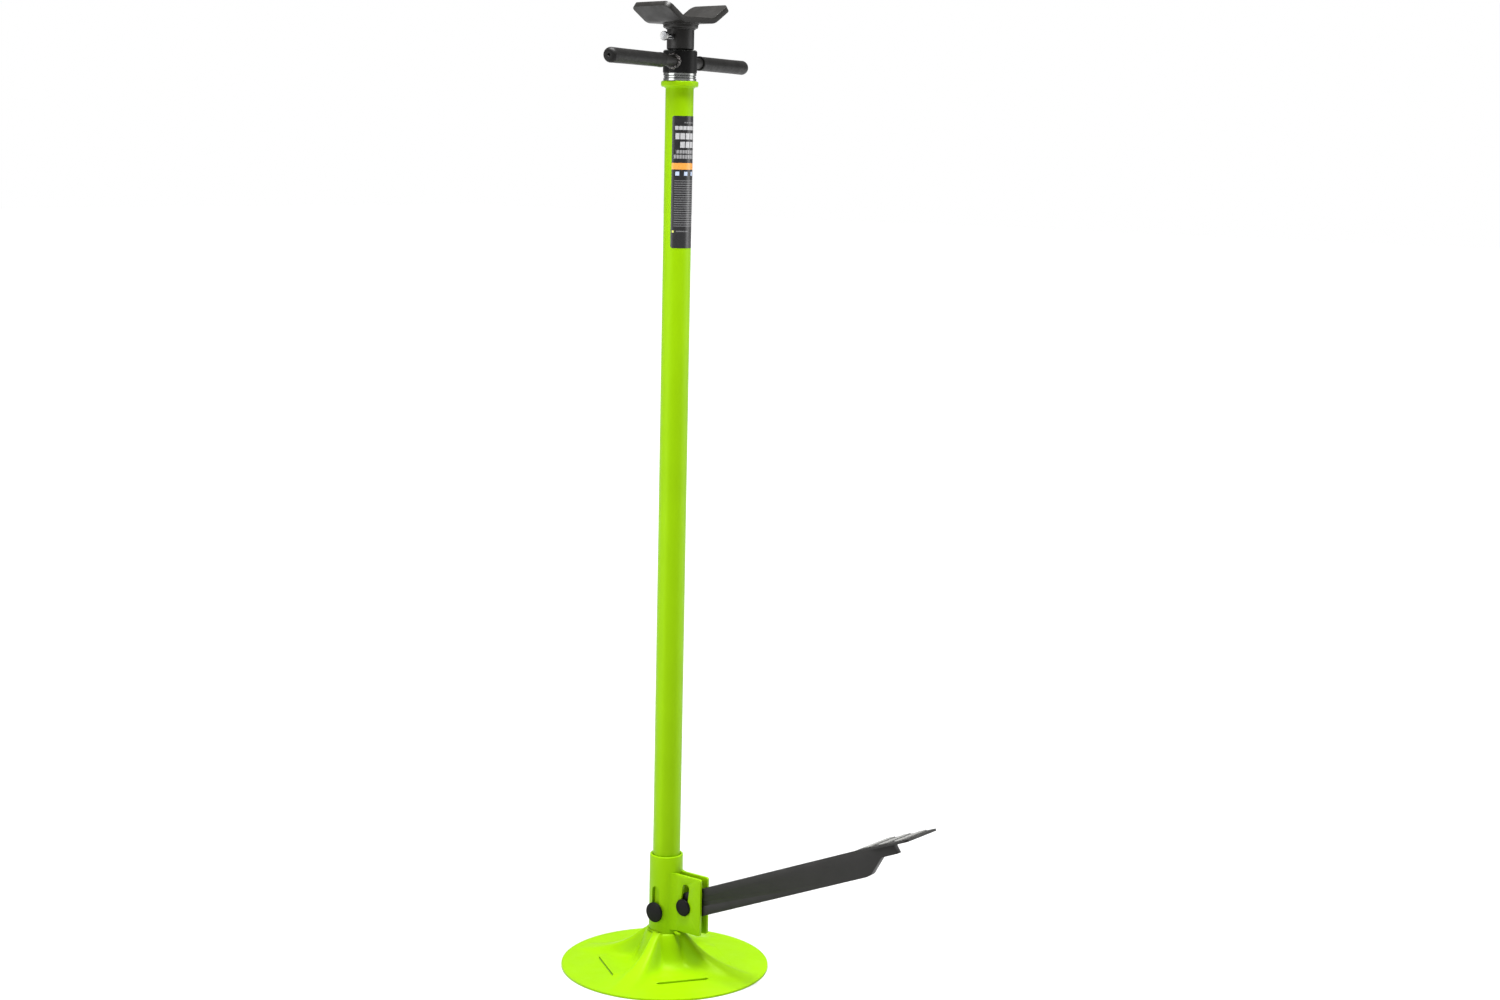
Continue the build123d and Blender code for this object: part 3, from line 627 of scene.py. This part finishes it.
def stamped_base():
    columns = 360
    inner_rings = 44
    outer_rings = 20
    lip_r = SLEEVE_R + 0.55 * MM
    bm = bmesh.new()
    grid = []
    for ring in range(inner_rings + outer_rings + 2):
        outside = ring > inner_rings
        row = []
        for column in range(columns):
            angle = RIB_TURN + math.pi / 4 + math.tau * column / columns
            edge = step_radius(angle)
            off = abs(from_slit(angle))
            open_here = off < SLIT_EDGE
            if outside:
                share = (ring - inner_rings - 1) / outer_rings
                radius = edge + (RIM_R - edge) * share
            else:
                share = ring / inner_rings
                radius = lip_r + (edge - lip_r) * share ** 1.15
            if ring == inner_rings + 1 and not open_here:
                row.append(grid[inner_rings][column])
                continue
            gap = SLIT_GAP / 2 * smooth_step(SLIT_EDGE, SLIT_EDGE - math.radians(2), off)
            if ring == inner_rings:
                radius -= gap
            if ring == inner_rings + 1:
                radius += gap
            height = base_height(radius, angle, 1 if outside else -1)
            lip = smooth_step(lip_r + 3.2 * MM, lip_r, radius)
            height = min(height, NECK_TOP) - 1.1 * MM * lip * lip
            row.append(bm.verts.new((radius * math.cos(angle), radius * math.sin(angle), height)))
        grid.append(row)
    for ring in range(len(grid) - 1):
        if ring == inner_rings:
            continue
        for column in range(columns):
            after = (column + 1) % columns
            inner, outer = grid[ring], grid[ring + 1]
            bm.faces.new((inner[column], inner[after], outer[after], outer[column]))
    stamping = piece_from("base_stamping", bm, "base", lime, ["base_plate"])
    if stamping.data.polygons[0].normal.z < 0:
        stamping.data.flip_normals()
    wall = stamping.modifiers.new("sheet", "SOLIDIFY")
    wall.thickness = SHEET
    wall.offset = -1
    bake_modifiers(stamping)
    for vertex in stamping.data.vertices:
        vertex.co.z = max(vertex.co.z, 0)
    bevel(stamping, 0.7 * MM, 2, 60)


stamped_base()

# ---------------------------------------------------------------- guide sleeve, cheeks and pins
SLEEVE_BORE = 20.5 * MM
SLOT_RISE = 32 * MM
SLOT_W = 13 * MM
FORK_W = 12 * MM        # width of the fork in the column and of the window in the sleeve
WINDOW_H = 64 * MM
WINDOW_Z = 95 * MM
PIN_R = 6 * MM

sleeve = piece_from(
    "guide_sleeve_finished",
    turned(tube_profile(SLEEVE_R, SLEEVE_BORE, SLEEVE_LOW, SLEEVE_TOP, 1.3 * MM), segments=144, closed=True),
    "base", lime, ["guide_sleeve"],
)
cut(sleeve, [
    slot_cutter(SLOT_RISE + SLOT_W, SLOT_W, (0, 0, PIN_Z + SLOT_RISE / 2), (0, 1, 0)),
    slot_cutter(WINDOW_H, FORK_W, (25 * MM, 0, WINDOW_Z), (1, 0, 0), depth=40 * MM),
])

for side in ("near", "far"):
    twin("bracket_cheek_" + side, lime, 0.7 * MM, 3)
for pin in ("fulcrum_pin", "lift_pin"):
    twin(pin, oxide, 0.35 * MM)


def push_on_ring(node, body):
    """A dished spring ring with six bent tabs that bite on the pin."""
    low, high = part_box(node)
    centre = (low + high) / 2
    outer = (high.x - low.x) / 2
    thick = high.y - low.y
    profile = [
        (PIN_R + 0.1 * MM, thick), (PIN_R + 1.4 * MM, thick * 0.75),
        (outer - 0.5 * MM, thick * 0.35), (outer, 0.0),
        (outer - 0.6 * MM, 0.0), (PIN_R + 1.2 * MM, thick * 0.35), (PIN_R + 0.1 * MM, thick * 0.65),
    ]

    def notches(angle, along, radius):
        inside = radius < PIN_R + 0.6 * MM
        between = abs((angle * 6 / math.tau) % 1 - 0.5) < 0.12
        return 1.16 if inside and between else 1.0

    bm = turned(profile, (centre.x, low.y, centre.z), (0, 1, 0), 120, True, notches)
    piece_from(node + "_finished", bm, body, zinc, [node])


push_on_ring("fulcrum_pin_clip", "base")
push_on_ring("lift_pin_clip", "column")

# ---------------------------------------------------------------- pedal
twin("pedal_lever", black, 0.8 * MM, 3)
twin("foot_pad", black, 0.9 * MM, 3)


def gritty_treads():
    """The three strips, with a top roughened by small dents."""
    source = frame["nodes"]["pad_treads"]
    bm = bmesh.new()
    bm.from_mesh(source.data)
    bmesh.ops.remove_doubles(bm, verts=bm.verts, dist=2e-6)
    bmesh.ops.dissolve_limit(bm, angle_limit=math.radians(0.4), verts=bm.verts, edges=bm.edges)
    bmesh.ops.triangulate(bm, faces=bm.faces)
    for _ in range(6):
        long_edges = [edge for edge in bm.edges if edge.calc_length() > 1.6 * MM]
        bmesh.ops.subdivide_edges(bm, edges=long_edges, cuts=1)
        bmesh.ops.triangulate(bm, faces=bm.faces)
    bm.normal_update()
    for vertex in bm.verts:
        if vertex.normal.z > 0.5:
            vertex.co -= vertex.normal * draw.uniform(0.0, 0.5) * MM
    piece_from("pad_treads_finished", bm, "pedal", grit, ["pad_treads"], sharp=60)


gritty_treads()

# ---------------------------------------------------------------- column, collar, label
BORE_R = 17 * MM
column = piece_from(
    "column_tube_finished",
    turned(tube_profile(COLUMN_R, BORE_R, COLUMN_LOW, COLUMN_TOP), segments=144, closed=True),
    "column", lime, ["column_tube"],
)
FORK_RISE = 27 * MM
PIN_HOLE = 12.1 * MM
fork_h = PIN_Z + FORK_RISE - COLUMN_LOW + 20 * MM
cut(column, [
    slot_cutter(PIN_HOLE, PIN_HOLE, (0, 0, PIN_Z), (0, 1, 0)),
    slot_cutter(fork_h, FORK_W, (12 * MM, 0, PIN_Z + FORK_RISE - fork_h / 2), (1, 0, 0), depth=24.2 * MM),
])


FILM_R = COLUMN_R + 0.22 * MM


def curved_film():
    """The label: thin film round the column with rounded corners."""
    low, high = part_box("column_label")
    half = math.atan2(high.y, low.x)
    corner = 3.5 * MM
    rows = [LABEL_LOW + corner * (1 - math.cos(step * math.pi / 16)) for step in range(9)]
    rows += [LABEL_LOW + (LABEL_TOP - LABEL_LOW) * step / 24 for step in range(2, 23)]
    rows += [LABEL_TOP - corner * (1 - math.cos(step * math.pi / 16)) for step in range(8, -1, -1)]
    bm = bmesh.new()
    grid = []
    for height in rows:
        inside = max(corner - min(height - LABEL_LOW, LABEL_TOP - height), 0)
        trim = corner - math.sqrt(max(corner ** 2 - inside ** 2, 0))
        reach = half - trim / COLUMN_R
        grid.append([
            bm.verts.new(round_axis(FILM_R, turn, height))
            for turn in (reach * (step / 24 - 1) for step in range(49))
        ])
    for lower, upper in zip(grid, grid[1:]):
        for step in range(48):
            bm.faces.new((lower[step], lower[step + 1], upper[step + 1], upper[step]))
    obj = piece_from("column_label_finished", bm, "column", film, ["column_label"])
    skin = obj.modifiers.new("film", "SOLIDIFY")
    skin.thickness = 0.16 * MM
    skin.offset = -1
    bake_modifiers(obj)


curved_film()

# ---------------------------------------------------------------- spun nut, rods and grips
HUB_BORE_R = 13.35 * MM
HUB_CHAMFER = 2 * MM
hub_shape = rounded([
    (HUB_BORE_R, HUB_LOW), (HUB_R - 0.8 * MM, HUB_LOW), (HUB_R, HUB_LOW + 0.8 * MM),
    (HUB_R, HUB_TOP - HUB_CHAMFER), (HUB_R - HUB_CHAMFER, HUB_TOP), (HUB_BORE_R + 0.85 * MM, HUB_TOP),
    (HUB_BORE_R, HUB_TOP - 0.9 * MM), (HUB_BORE_R, HUB_LOW),
], 0.6 * MM)
piece_from(
    "spin_hub_finished", turned(hub_shape, segments=144, closed=True),
    "spinner", oxide, ["spin_hub"],
)
bright_edge = [
    (HUB_R - 2.05 * MM, HUB_TOP - 0.6 * MM), (HUB_R - 1.75 * MM, HUB_TOP - 0.1 * MM),
    (HUB_R - 0.15 * MM, HUB_TOP - 1.7 * MM), (HUB_R - 0.7 * MM, HUB_TOP - 1.95 * MM),
    (HUB_R - 2.05 * MM, HUB_TOP - 0.6 * MM),
]
piece_from(
    "hub_bright_edge", turned(bright_edge, segments=144, closed=True),
    "spinner", steel,
)

ROD_R = 8 * MM
GRIP_R = 10.5 * MM
# Distances from the column's axis
GRIP_START = 62.5 * MM
GRIP_END = 224.5 * MM
ROD_END = 217.5 * MM
ARM_Z = (HUB_LOW + HUB_TOP) / 2

for side in ("far", "near"):
    low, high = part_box("grip_" + side)
    arm = Vector((low.x + high.x, low.y + high.y, 0)).normalized()
    hub_centre = (0, 0, ARM_Z)
    root = HUB_R - 2 * MM
    rod = [(0, root), (ROD_R, root), (ROD_R, ROD_END - 1 * MM), (ROD_R - 1 * MM, ROD_END), (0, ROD_END)]
    piece_from(
        f"handle_rod_{side}_finished", turned(rod, hub_centre, arm, 72), "spinner", black,
        ["handle_rod_" + side],
    )
    sleeve_line = [
        (0, ROD_END + 0.3 * MM), (ROD_R + 0.05 * MM, ROD_END + 0.3 * MM), (ROD_R + 0.05 * MM, GRIP_START),
        (GRIP_R - 0.5 * MM, GRIP_START), (GRIP_R, GRIP_START + 1.5 * MM), (GRIP_R, GRIP_START + 5 * MM),
        (GRIP_R - 0.35 * MM, GRIP_START + 9 * MM), (GRIP_R - 0.25 * MM, GRIP_END - 40 * MM),
        (GRIP_R - 0.05 * MM, GRIP_END - 12 * MM),
    ]
    dome = [
        (
            GRIP_R - 6.5 * MM * (1 - math.cos(math.radians(turn))),
            GRIP_END - 6.5 * MM * (1 - math.sin(math.radians(turn))),
        )
        for turn in range(0, 91, 9)
    ]
    dimple = [
        (2.4 * MM, GRIP_END - 0.05 * MM), (1.7 * MM, GRIP_END - 0.6 * MM),
        (1.2 * MM, GRIP_END - 3 * MM), (0, GRIP_END - 3.2 * MM),
    ]
    outline = rounded(sleeve_line, 0.8 * MM)[:-1] + dome + dimple
    piece_from(
        f"grip_{side}_finished", turned(outline, hub_centre, arm, 96),
        "spinner", vinyl, ["grip_" + side],
    )


# ---------------------------------------------------------------- threads
def threaded(radius, depth, pitch, start, length, axis, segments=64):
    """A helical thread with flat crests and slanting flanks, as a bmesh along an axis from a start point."""
    rotation = UP.rotation_difference(Vector(axis)).to_matrix().to_4x4()
    place = Matrix.Translation(start) @ rotation
    shape = [(radius - depth, 0.0), (radius - depth, 0.32), (radius, 0.46), (radius, 0.86)]
    turns = int(length / pitch) + 2
    bm = bmesh.new()
    lines = []
    for step in range(turns * segments + 1):
        angle = math.tau * step / segments
        row = []
        for reach, share in shape:
            along = min(max(pitch * (step / segments + share) - pitch, 0), length)
            row.append(bm.verts.new(place @ round_axis(reach, angle, along)))
        lines.append(row)
    for step in range(len(lines) - 1):
        here, after = lines[step], lines[step + 1]
        for index in range(3):
            bm.faces.new((here[index], after[index], after[index + 1], here[index + 1]))
        if step + segments + 1 < len(lines):
            next_here, next_after = lines[step + segments], lines[step + segments + 1]
            bm.faces.new((here[3], after[3], next_after[0], next_here[0]))
    bmesh.ops.remove_doubles(bm, verts=bm.verts, dist=1e-6)
    bmesh.ops.dissolve_degenerate(bm, dist=1e-6, edges=bm.edges)
    return bm


def joined(*parts):
    """One bmesh from several."""
    whole = bmesh.new()
    for part in parts:
        mesh = bpy.data.meshes.new("part")
        part.to_mesh(mesh)
        part.free()
        whole.from_mesh(mesh)
        bpy.data.meshes.remove(mesh)
    return whole


SHOULDER = SOCKET_LOW - 0.2 * MM
GROOVE_Z = sum(corner.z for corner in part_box("lock_screw")) / 2
THREAD_LOW = SCREW_LOW + 12 * MM
SCREW_PITCH = 5 * MM
JOURNAL_R = 11 * MM
GROOVE_R = 9 * MM
GROOVE_HALF = 4.5 * MM
journal = rounded([
    (0, SHOULDER - 6 * MM), (SCREW_R - 0.3 * MM, SHOULDER - 6 * MM),
    (SCREW_R - 0.3 * MM, SHOULDER - 0.5 * MM), (SCREW_R - 1 * MM, SHOULDER), (JOURNAL_R, SHOULDER),
    (JOURNAL_R, GROOVE_Z - GROOVE_HALF), (GROOVE_R, GROOVE_Z - GROOVE_HALF),
    (GROOVE_R, GROOVE_Z + GROOVE_HALF), (JOURNAL_R, GROOVE_Z + GROOVE_HALF), (JOURNAL_R, SCREW_TOP - 1 * MM),
    (JOURNAL_R - 1 * MM, SCREW_TOP), (0, SCREW_TOP),
], 0.3 * MM, 2)
tail = [(5.05 * MM, SCREW_LOW), (SCREW_R - 1.2 * MM, SCREW_LOW), (SCREW_R - 0.4 * MM, SCREW_LOW + 0.8 * MM),
        (SCREW_R - 0.4 * MM, THREAD_LOW + 1 * MM), (5.05 * MM, THREAD_LOW + 1 * MM)]
piece_from(
    "lead_screw_finished",
    joined(
        threaded(SCREW_R, 2.6 * MM, SCREW_PITCH, (0, 0, THREAD_LOW), SHOULDER - SCREW_PITCH - THREAD_LOW, UP),
        turned(journal, segments=96), turned(tail, segments=96, closed=True),
    ),
    "screw", screw_metal, ["lead_screw"],
)
twin("screw_stop_bolt", zinc, 0.4 * MM)
twin("screw_stop_washer", zinc, 0.4 * MM)


# ---------------------------------------------------------------- saddle
socket_shape = rounded([
    (JOURNAL_R + 0.09 * MM, SOCKET_LOW), (SOCKET_R - 1 * MM, SOCKET_LOW), (SOCKET_R, SOCKET_LOW + 1 * MM),
    (SOCKET_R, SOCKET_TOP), (JOURNAL_R + 0.09 * MM, SOCKET_TOP), (JOURNAL_R + 0.09 * MM, SOCKET_LOW),
], 0.4 * MM, 3)
socket = piece_from(
    "saddle_socket_finished", turned(socket_shape, segments=144, closed=True), "saddle", black,
    ["saddle_socket"],
)
cut(socket, [slot_cutter(8.2 * MM, 8.2 * MM, (0, -16 * MM, GROOVE_Z), (0, -1, 0), depth=14 * MM)])


def bent_saddle():
    """The vee plate: one flat plate with two bends, rounded free corners and eased edges."""
    thick, length, lean = 8 * MM, 79 * MM, math.radians(35.5)
    bend_x = 27 * MM + thick / 2 * math.tan(lean / 2)
    slant = 34.2 * MM + thick / 2 * math.tan(lean / 2)
    bend_r = 17 * MM
    corner = 9 * MM
    turn = math.radians(-10)
    trough = Vector((math.cos(turn), math.sin(turn), 0))
    across = Vector((-trough.y, trough.x, 0))
    cutback = bend_r * math.tan(lean / 2)
    arc = bend_r * lean
    flat_half = bend_x - cutback
    total = flat_half + arc + slant - cutback
    middle = Vector((0, 0, FLANGE_TOP + thick / 2))

    def section(distance):
        """Place and upward normal on the plate's middle line, at a distance from its centre."""
        side = 1 if distance >= 0 else -1
        reach = abs(distance)
        if reach <= flat_half:
            x, z, tilt = reach, 0.0, 0.0
        elif reach <= flat_half + arc:
            tilt = (reach - flat_half) / bend_r
            x = flat_half + bend_r * math.sin(tilt)
            z = bend_r * (1 - math.cos(tilt))
        else:
            tilt = lean
            past = reach - flat_half - arc
            x = flat_half + bend_r * math.sin(lean) + past * math.cos(lean)
            z = bend_r * (1 - math.cos(lean)) + past * math.sin(lean)
        place = middle + across * side * x + UP * z
        normal = UP * math.cos(tilt) - across * side * math.sin(tilt)
        return place, normal

    steps = [total * share for share in (step / 60 for step in range(53))]
    steps = sorted(set([d for d in steps if d < total - corner] + [
        total - corner + corner * math.sin(math.radians(angle)) for angle in range(0, 91, 10)]))
    distances = [-d for d in reversed(steps[1:])] + steps
    bm = bmesh.new()
    layers = {1: [], -1: []}
    for distance in distances:
        place, normal = section(distance)
        into = max(abs(distance) - (total - corner), 0)
        half = length / 2 - corner + math.sqrt(max(corner ** 2 - into ** 2, 0))
        for face in (1, -1):
            layers[face].append([
                bm.verts.new(place + trough * half * (step / 12 - 1) + normal * face * thick / 2)
                for step in range(25)
            ])
    for face in (1, -1):
        for lower, upper in zip(layers[face], layers[face][1:]):
            for step in range(24):
                bm.faces.new((lower[step], lower[step + 1], upper[step + 1], upper[step]))
    for end in (0, 24):
        for index in range(len(distances) - 1):
            above, beyond = layers[1][index], layers[1][index + 1]
            below, under = layers[-1][index], layers[-1][index + 1]
            bm.faces.new((above[end], beyond[end], under[end], below[end]))
    for index in (0, -1):
        for step in range(24):
            above, below = layers[1][index], layers[-1][index]
            bm.faces.new((above[step], above[step + 1], below[step + 1], below[step]))
    obj = piece_from("saddle_vee_finished", bm, "saddle", black, ["saddle_vee"])
    bevel(obj, 1.4 * MM, 3, 50)


bent_saddle()


def thumb_screw():
    """Zinc thumb screw: finely knurled disc head and a threaded shank on a plain core."""
    low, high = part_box("lock_screw")
    head_r = (high.x - low.x) / 2
    head_start = low.y + 5 * MM
    axis = (0, -1, 0)
    knurls = 28

    def knurl(angle, along, radius):
        on_rim = radius > head_r - 0.3 * MM and 1 * MM < along < 4.6 * MM
        return 1 - 0.035 * (1 - math.cos(angle * knurls)) / 2 if on_rim else 1.0

    head = [
        (0, 0), (4.2 * MM, 0), (4.2 * MM, 0.6 * MM), (head_r - 0.7 * MM, 0.6 * MM),
        (head_r, 1.2 * MM), (head_r, 2.4 * MM), (head_r, 3.6 * MM), (head_r, 4.4 * MM),
        (head_r - 0.7 * MM, 5 * MM), (3 * MM, 4.9 * MM), (0, 4.7 * MM),
    ]
    reach = high.y - head_start
    shank = threaded(3.9 * MM, 0.6 * MM, 1.25 * MM, (0, high.y, GROOVE_Z), reach, axis, 40)
    core_line = [(0, -0.1 * MM), (3.3 * MM, -0.1 * MM), (3.3 * MM, reach), (0, reach)]
    core = turned(core_line, (0, high.y - 0.2 * MM, GROOVE_Z), axis, 40)
    knob = turned(head, (0, head_start, GROOVE_Z), axis, 168, flutes=knurl)
    whole = joined(shank, core, knob)
    piece_from("lock_screw_finished", whole, "lock", zinc, ["lock_screw"], sharp=40)


thumb_screw()

# ---------------------------------------------------------------- welds
def cheek_fillet(name, side, leg=8 * MM):
    """A concave weld that carries a cheek's outer face over into the sleeve."""
    face_y = side * abs(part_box("bracket_cheek_near")[0].y)
    seam = Vector((math.sqrt(SLEEVE_R ** 2 - face_y ** 2), face_y, 0))
    root = seam * 0.93
    bm = bmesh.new()
    rows = []
    count = 70
    for step in range(count + 1):
        height = CHEEK_LOW + (CHEEK_TOP - CHEEK_LOW) * step / count
        reach = leg * (1 + 0.05 * math.sin(step * 1.9) + draw.uniform(-0.03, 0.03))
        on_cheek = seam + Vector((reach, 0, 0))
        turn = math.atan2(seam.y, seam.x) + side * reach / SLEEVE_R
        on_sleeve = Vector((math.cos(turn), math.sin(turn), 0)) * (SLEEVE_R - 0.05 * MM)
        pull = seam.lerp((on_cheek + on_sleeve) / 2, 0.35)
        section = [
            on_cheek * (1 - t) ** 2 + pull * 2 * t * (1 - t) + on_sleeve * t ** 2
            for t in (index / 8 for index in range(9))
        ]
        rows.append([bm.verts.new(point + UP * height) for point in section + [root]])
    sides = len(rows[0])
    for lower, upper in zip(rows, rows[1:]):
        for index in range(sides):
            after = (index + 1) % sides
            bm.faces.new((lower[index], lower[after], upper[after], upper[index]))
    bm.faces.new(rows[0])
    bm.faces.new(rows[-1])
    piece_from(name, bm, "base", lime, sharp=50)


for side, where in ((-1, "near"), (1, "far")):
    cheek_fillet("weld_cheek_" + where, side)
    weld_bead(
        "weld_cheek_foot_" + where,
        straight_path((24.5 * MM, side * 9.6 * MM, 57.4 * MM), (37 * MM, side * 9.8 * MM, 55.5 * MM)),
        2.4 * MM, "base", lime,
    )
neck_seam = circle_path(25.6 * MM, 56 * MM, start=1.0, end=5.0)
collar_seam = circle_path(COLUMN_R + 0.4 * MM, COLUMN_TOP - 0.2 * MM)
flange_seam = circle_path(SOCKET_R + 0.3 * MM, SOCKET_TOP - 0.3 * MM)
vee_seam = circle_path(FLANGE_R - 0.2 * MM, FLANGE_TOP - 0.4 * MM)
weld_bead("weld_neck_back", neck_seam, 1.2 * MM, "base", lime)
weld_bead("weld_collar", collar_seam, 1.3 * MM, "column", lime, True)
weld_bead("weld_flange", flange_seam, 1.4 * MM, "saddle", black, True)
weld_bead("weld_vee", vee_seam, 1.3 * MM, "saddle", black, True)

for side in ("far", "near"):
    low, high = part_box("grip_" + side)
    arm = Vector((low.x + high.x, low.y + high.y, 0)).normalized()
    level = UP.cross(arm)
    ring = ROD_R + 1.0 * MM
    path = []
    for step in range(52):
        angle = math.tau * step / 52
        aside = ring * math.cos(angle)
        outward = arm * math.sqrt(HUB_R ** 2 - aside ** 2)
        path.append(outward + level * aside + UP * (ARM_Z + ring * math.sin(angle)))
    weld_bead(f"weld_rod_{side}", path, 2.8 * MM, "spinner", spatter, True)


# ---------------------------------------------------------------- floor, light and camera
def stage_floor():
    surface = Surface("studio_floor", (0.5, 0.5, 0.5), 0.9)
    surface.shader.inputs["Specular IOR Level"].default_value = 0.1
    # The floor glows, which is painted light: faint near the stand and rising to full white about four metres
    # out from its axis.
    away = surface.nodes.new("ShaderNodeVectorMath")
    away.operation = "LENGTH"
    surface.link(surface.place, away.inputs[0])
    painted_floor_glow = surface.nodes.new("ShaderNodeMapRange")
    painted_floor_glow.inputs["From Min"].default_value = 0.3
    painted_floor_glow.inputs["From Max"].default_value = 4
    painted_floor_glow.inputs["To Min"].default_value = 0.08
    painted_floor_glow.inputs["To Max"].default_value = 1.1
    surface.link(away.outputs["Value"], painted_floor_glow.inputs["Value"])
    surface.shader.inputs["Emission Color"].default_value = (1, 1, 1, 1)
    surface.link(painted_floor_glow.outputs["Result"], surface.shader.inputs["Emission Strength"])
    surface.rough(surface.spread(surface.noise(4, 2), 0.85, 0.95))
    bm = bmesh.new()
    bmesh.ops.create_grid(bm, x_segments=8, y_segments=8, size=30)
    mesh = bpy.data.meshes.new("floor")
    bm.to_mesh(mesh)
    bm.free()
    mesh.materials.append(surface.material)
    floor = bpy.data.objects.new("floor", mesh)
    bpy.context.scene.collection.objects.link(floor)
    floor.location.z = -0.0002


def softbox(name, azimuth, distance, height, width, tall, power, aim=(0, 0, 0.7)):
    """A large area light, placed by its direction seen from above and turned to a point."""
    light = bpy.data.lights.new(name, "AREA")
    light.shape = "RECTANGLE"
    light.size = width
    light.size_y = tall
    light.energy = power
    lamp = bpy.data.objects.new(name, light)
    bpy.context.scene.collection.objects.link(lamp)
    turn = math.radians(azimuth)
    lamp.location = (distance * math.sin(turn), -distance * math.cos(turn), height)
    lamp.rotation_euler = (lamp.location - Vector(aim)).to_track_quat("Z", "Y").to_euler()


# Angles in degrees, the rest in metres, and the lens in mm
CAMERA_TURN = 39.5
CAMERA_DISTANCE = 3.3205
CAMERA_HEIGHT = 1.2012
CAMERA_DIP = 6.470
CAMERA_PAN = 1.887
CAMERA_ROLL = 1.197
CAMERA_LENS = 55.64
CAMERA_SHIFT = -0.0587

stage_floor()
world = bpy.data.worlds.new("studio")
world.use_nodes = True
sky = world.node_tree.nodes
fill = sky["Background"]
fill.inputs["Color"].default_value = (1, 1, 1, 1)
fill.inputs["Strength"].default_value = 0.25
backdrop = sky.new("ShaderNodeBackground")
backdrop.inputs["Color"].default_value = (1, 1, 1, 1)
seen = sky.new("ShaderNodeLightPath")
either = sky.new("ShaderNodeMixShader")
join = world.node_tree.links.new
join(seen.outputs["Is Camera Ray"], either.inputs["Fac"])
join(fill.outputs["Background"], either.inputs[1])
join(backdrop.outputs["Background"], either.inputs[2])
join(either.outputs["Shader"], sky["World Output"].inputs["Surface"])
bpy.context.scene.world = world
softbox("softbox_left", CAMERA_TURN - 62, 2.2, 0.75, 1.5, 1.9, 30, (0, 0, 0.4))
softbox("softbox_right", CAMERA_TURN + 92, 2.2, 0.9, 1.2, 2.4, 24)
softbox("softbox_top", CAMERA_TURN, 0.3, 3.4, 1.4, 1.4, 255)

camera = bpy.data.objects.new("camera", bpy.data.cameras.new("camera"))
bpy.context.scene.collection.objects.link(camera)
camera.data.lens = CAMERA_LENS
camera.data.sensor_width = 36
camera.data.shift_y = CAMERA_SHIFT
azimuth = math.radians(CAMERA_TURN)
camera.location = (CAMERA_DISTANCE * math.sin(azimuth), -CAMERA_DISTANCE * math.cos(azimuth), CAMERA_HEIGHT)
camera.rotation_euler = (
    Matrix.Rotation(math.radians(CAMERA_TURN - CAMERA_PAN), 3, "Z")
    @ Matrix.Rotation(math.radians(90 - CAMERA_DIP), 3, "X")
    @ Matrix.Rotation(math.radians(CAMERA_ROLL), 3, "Z")
).to_euler()
bpy.context.scene.camera = camera
bpy.context.scene.view_settings.view_transform = "Standard"
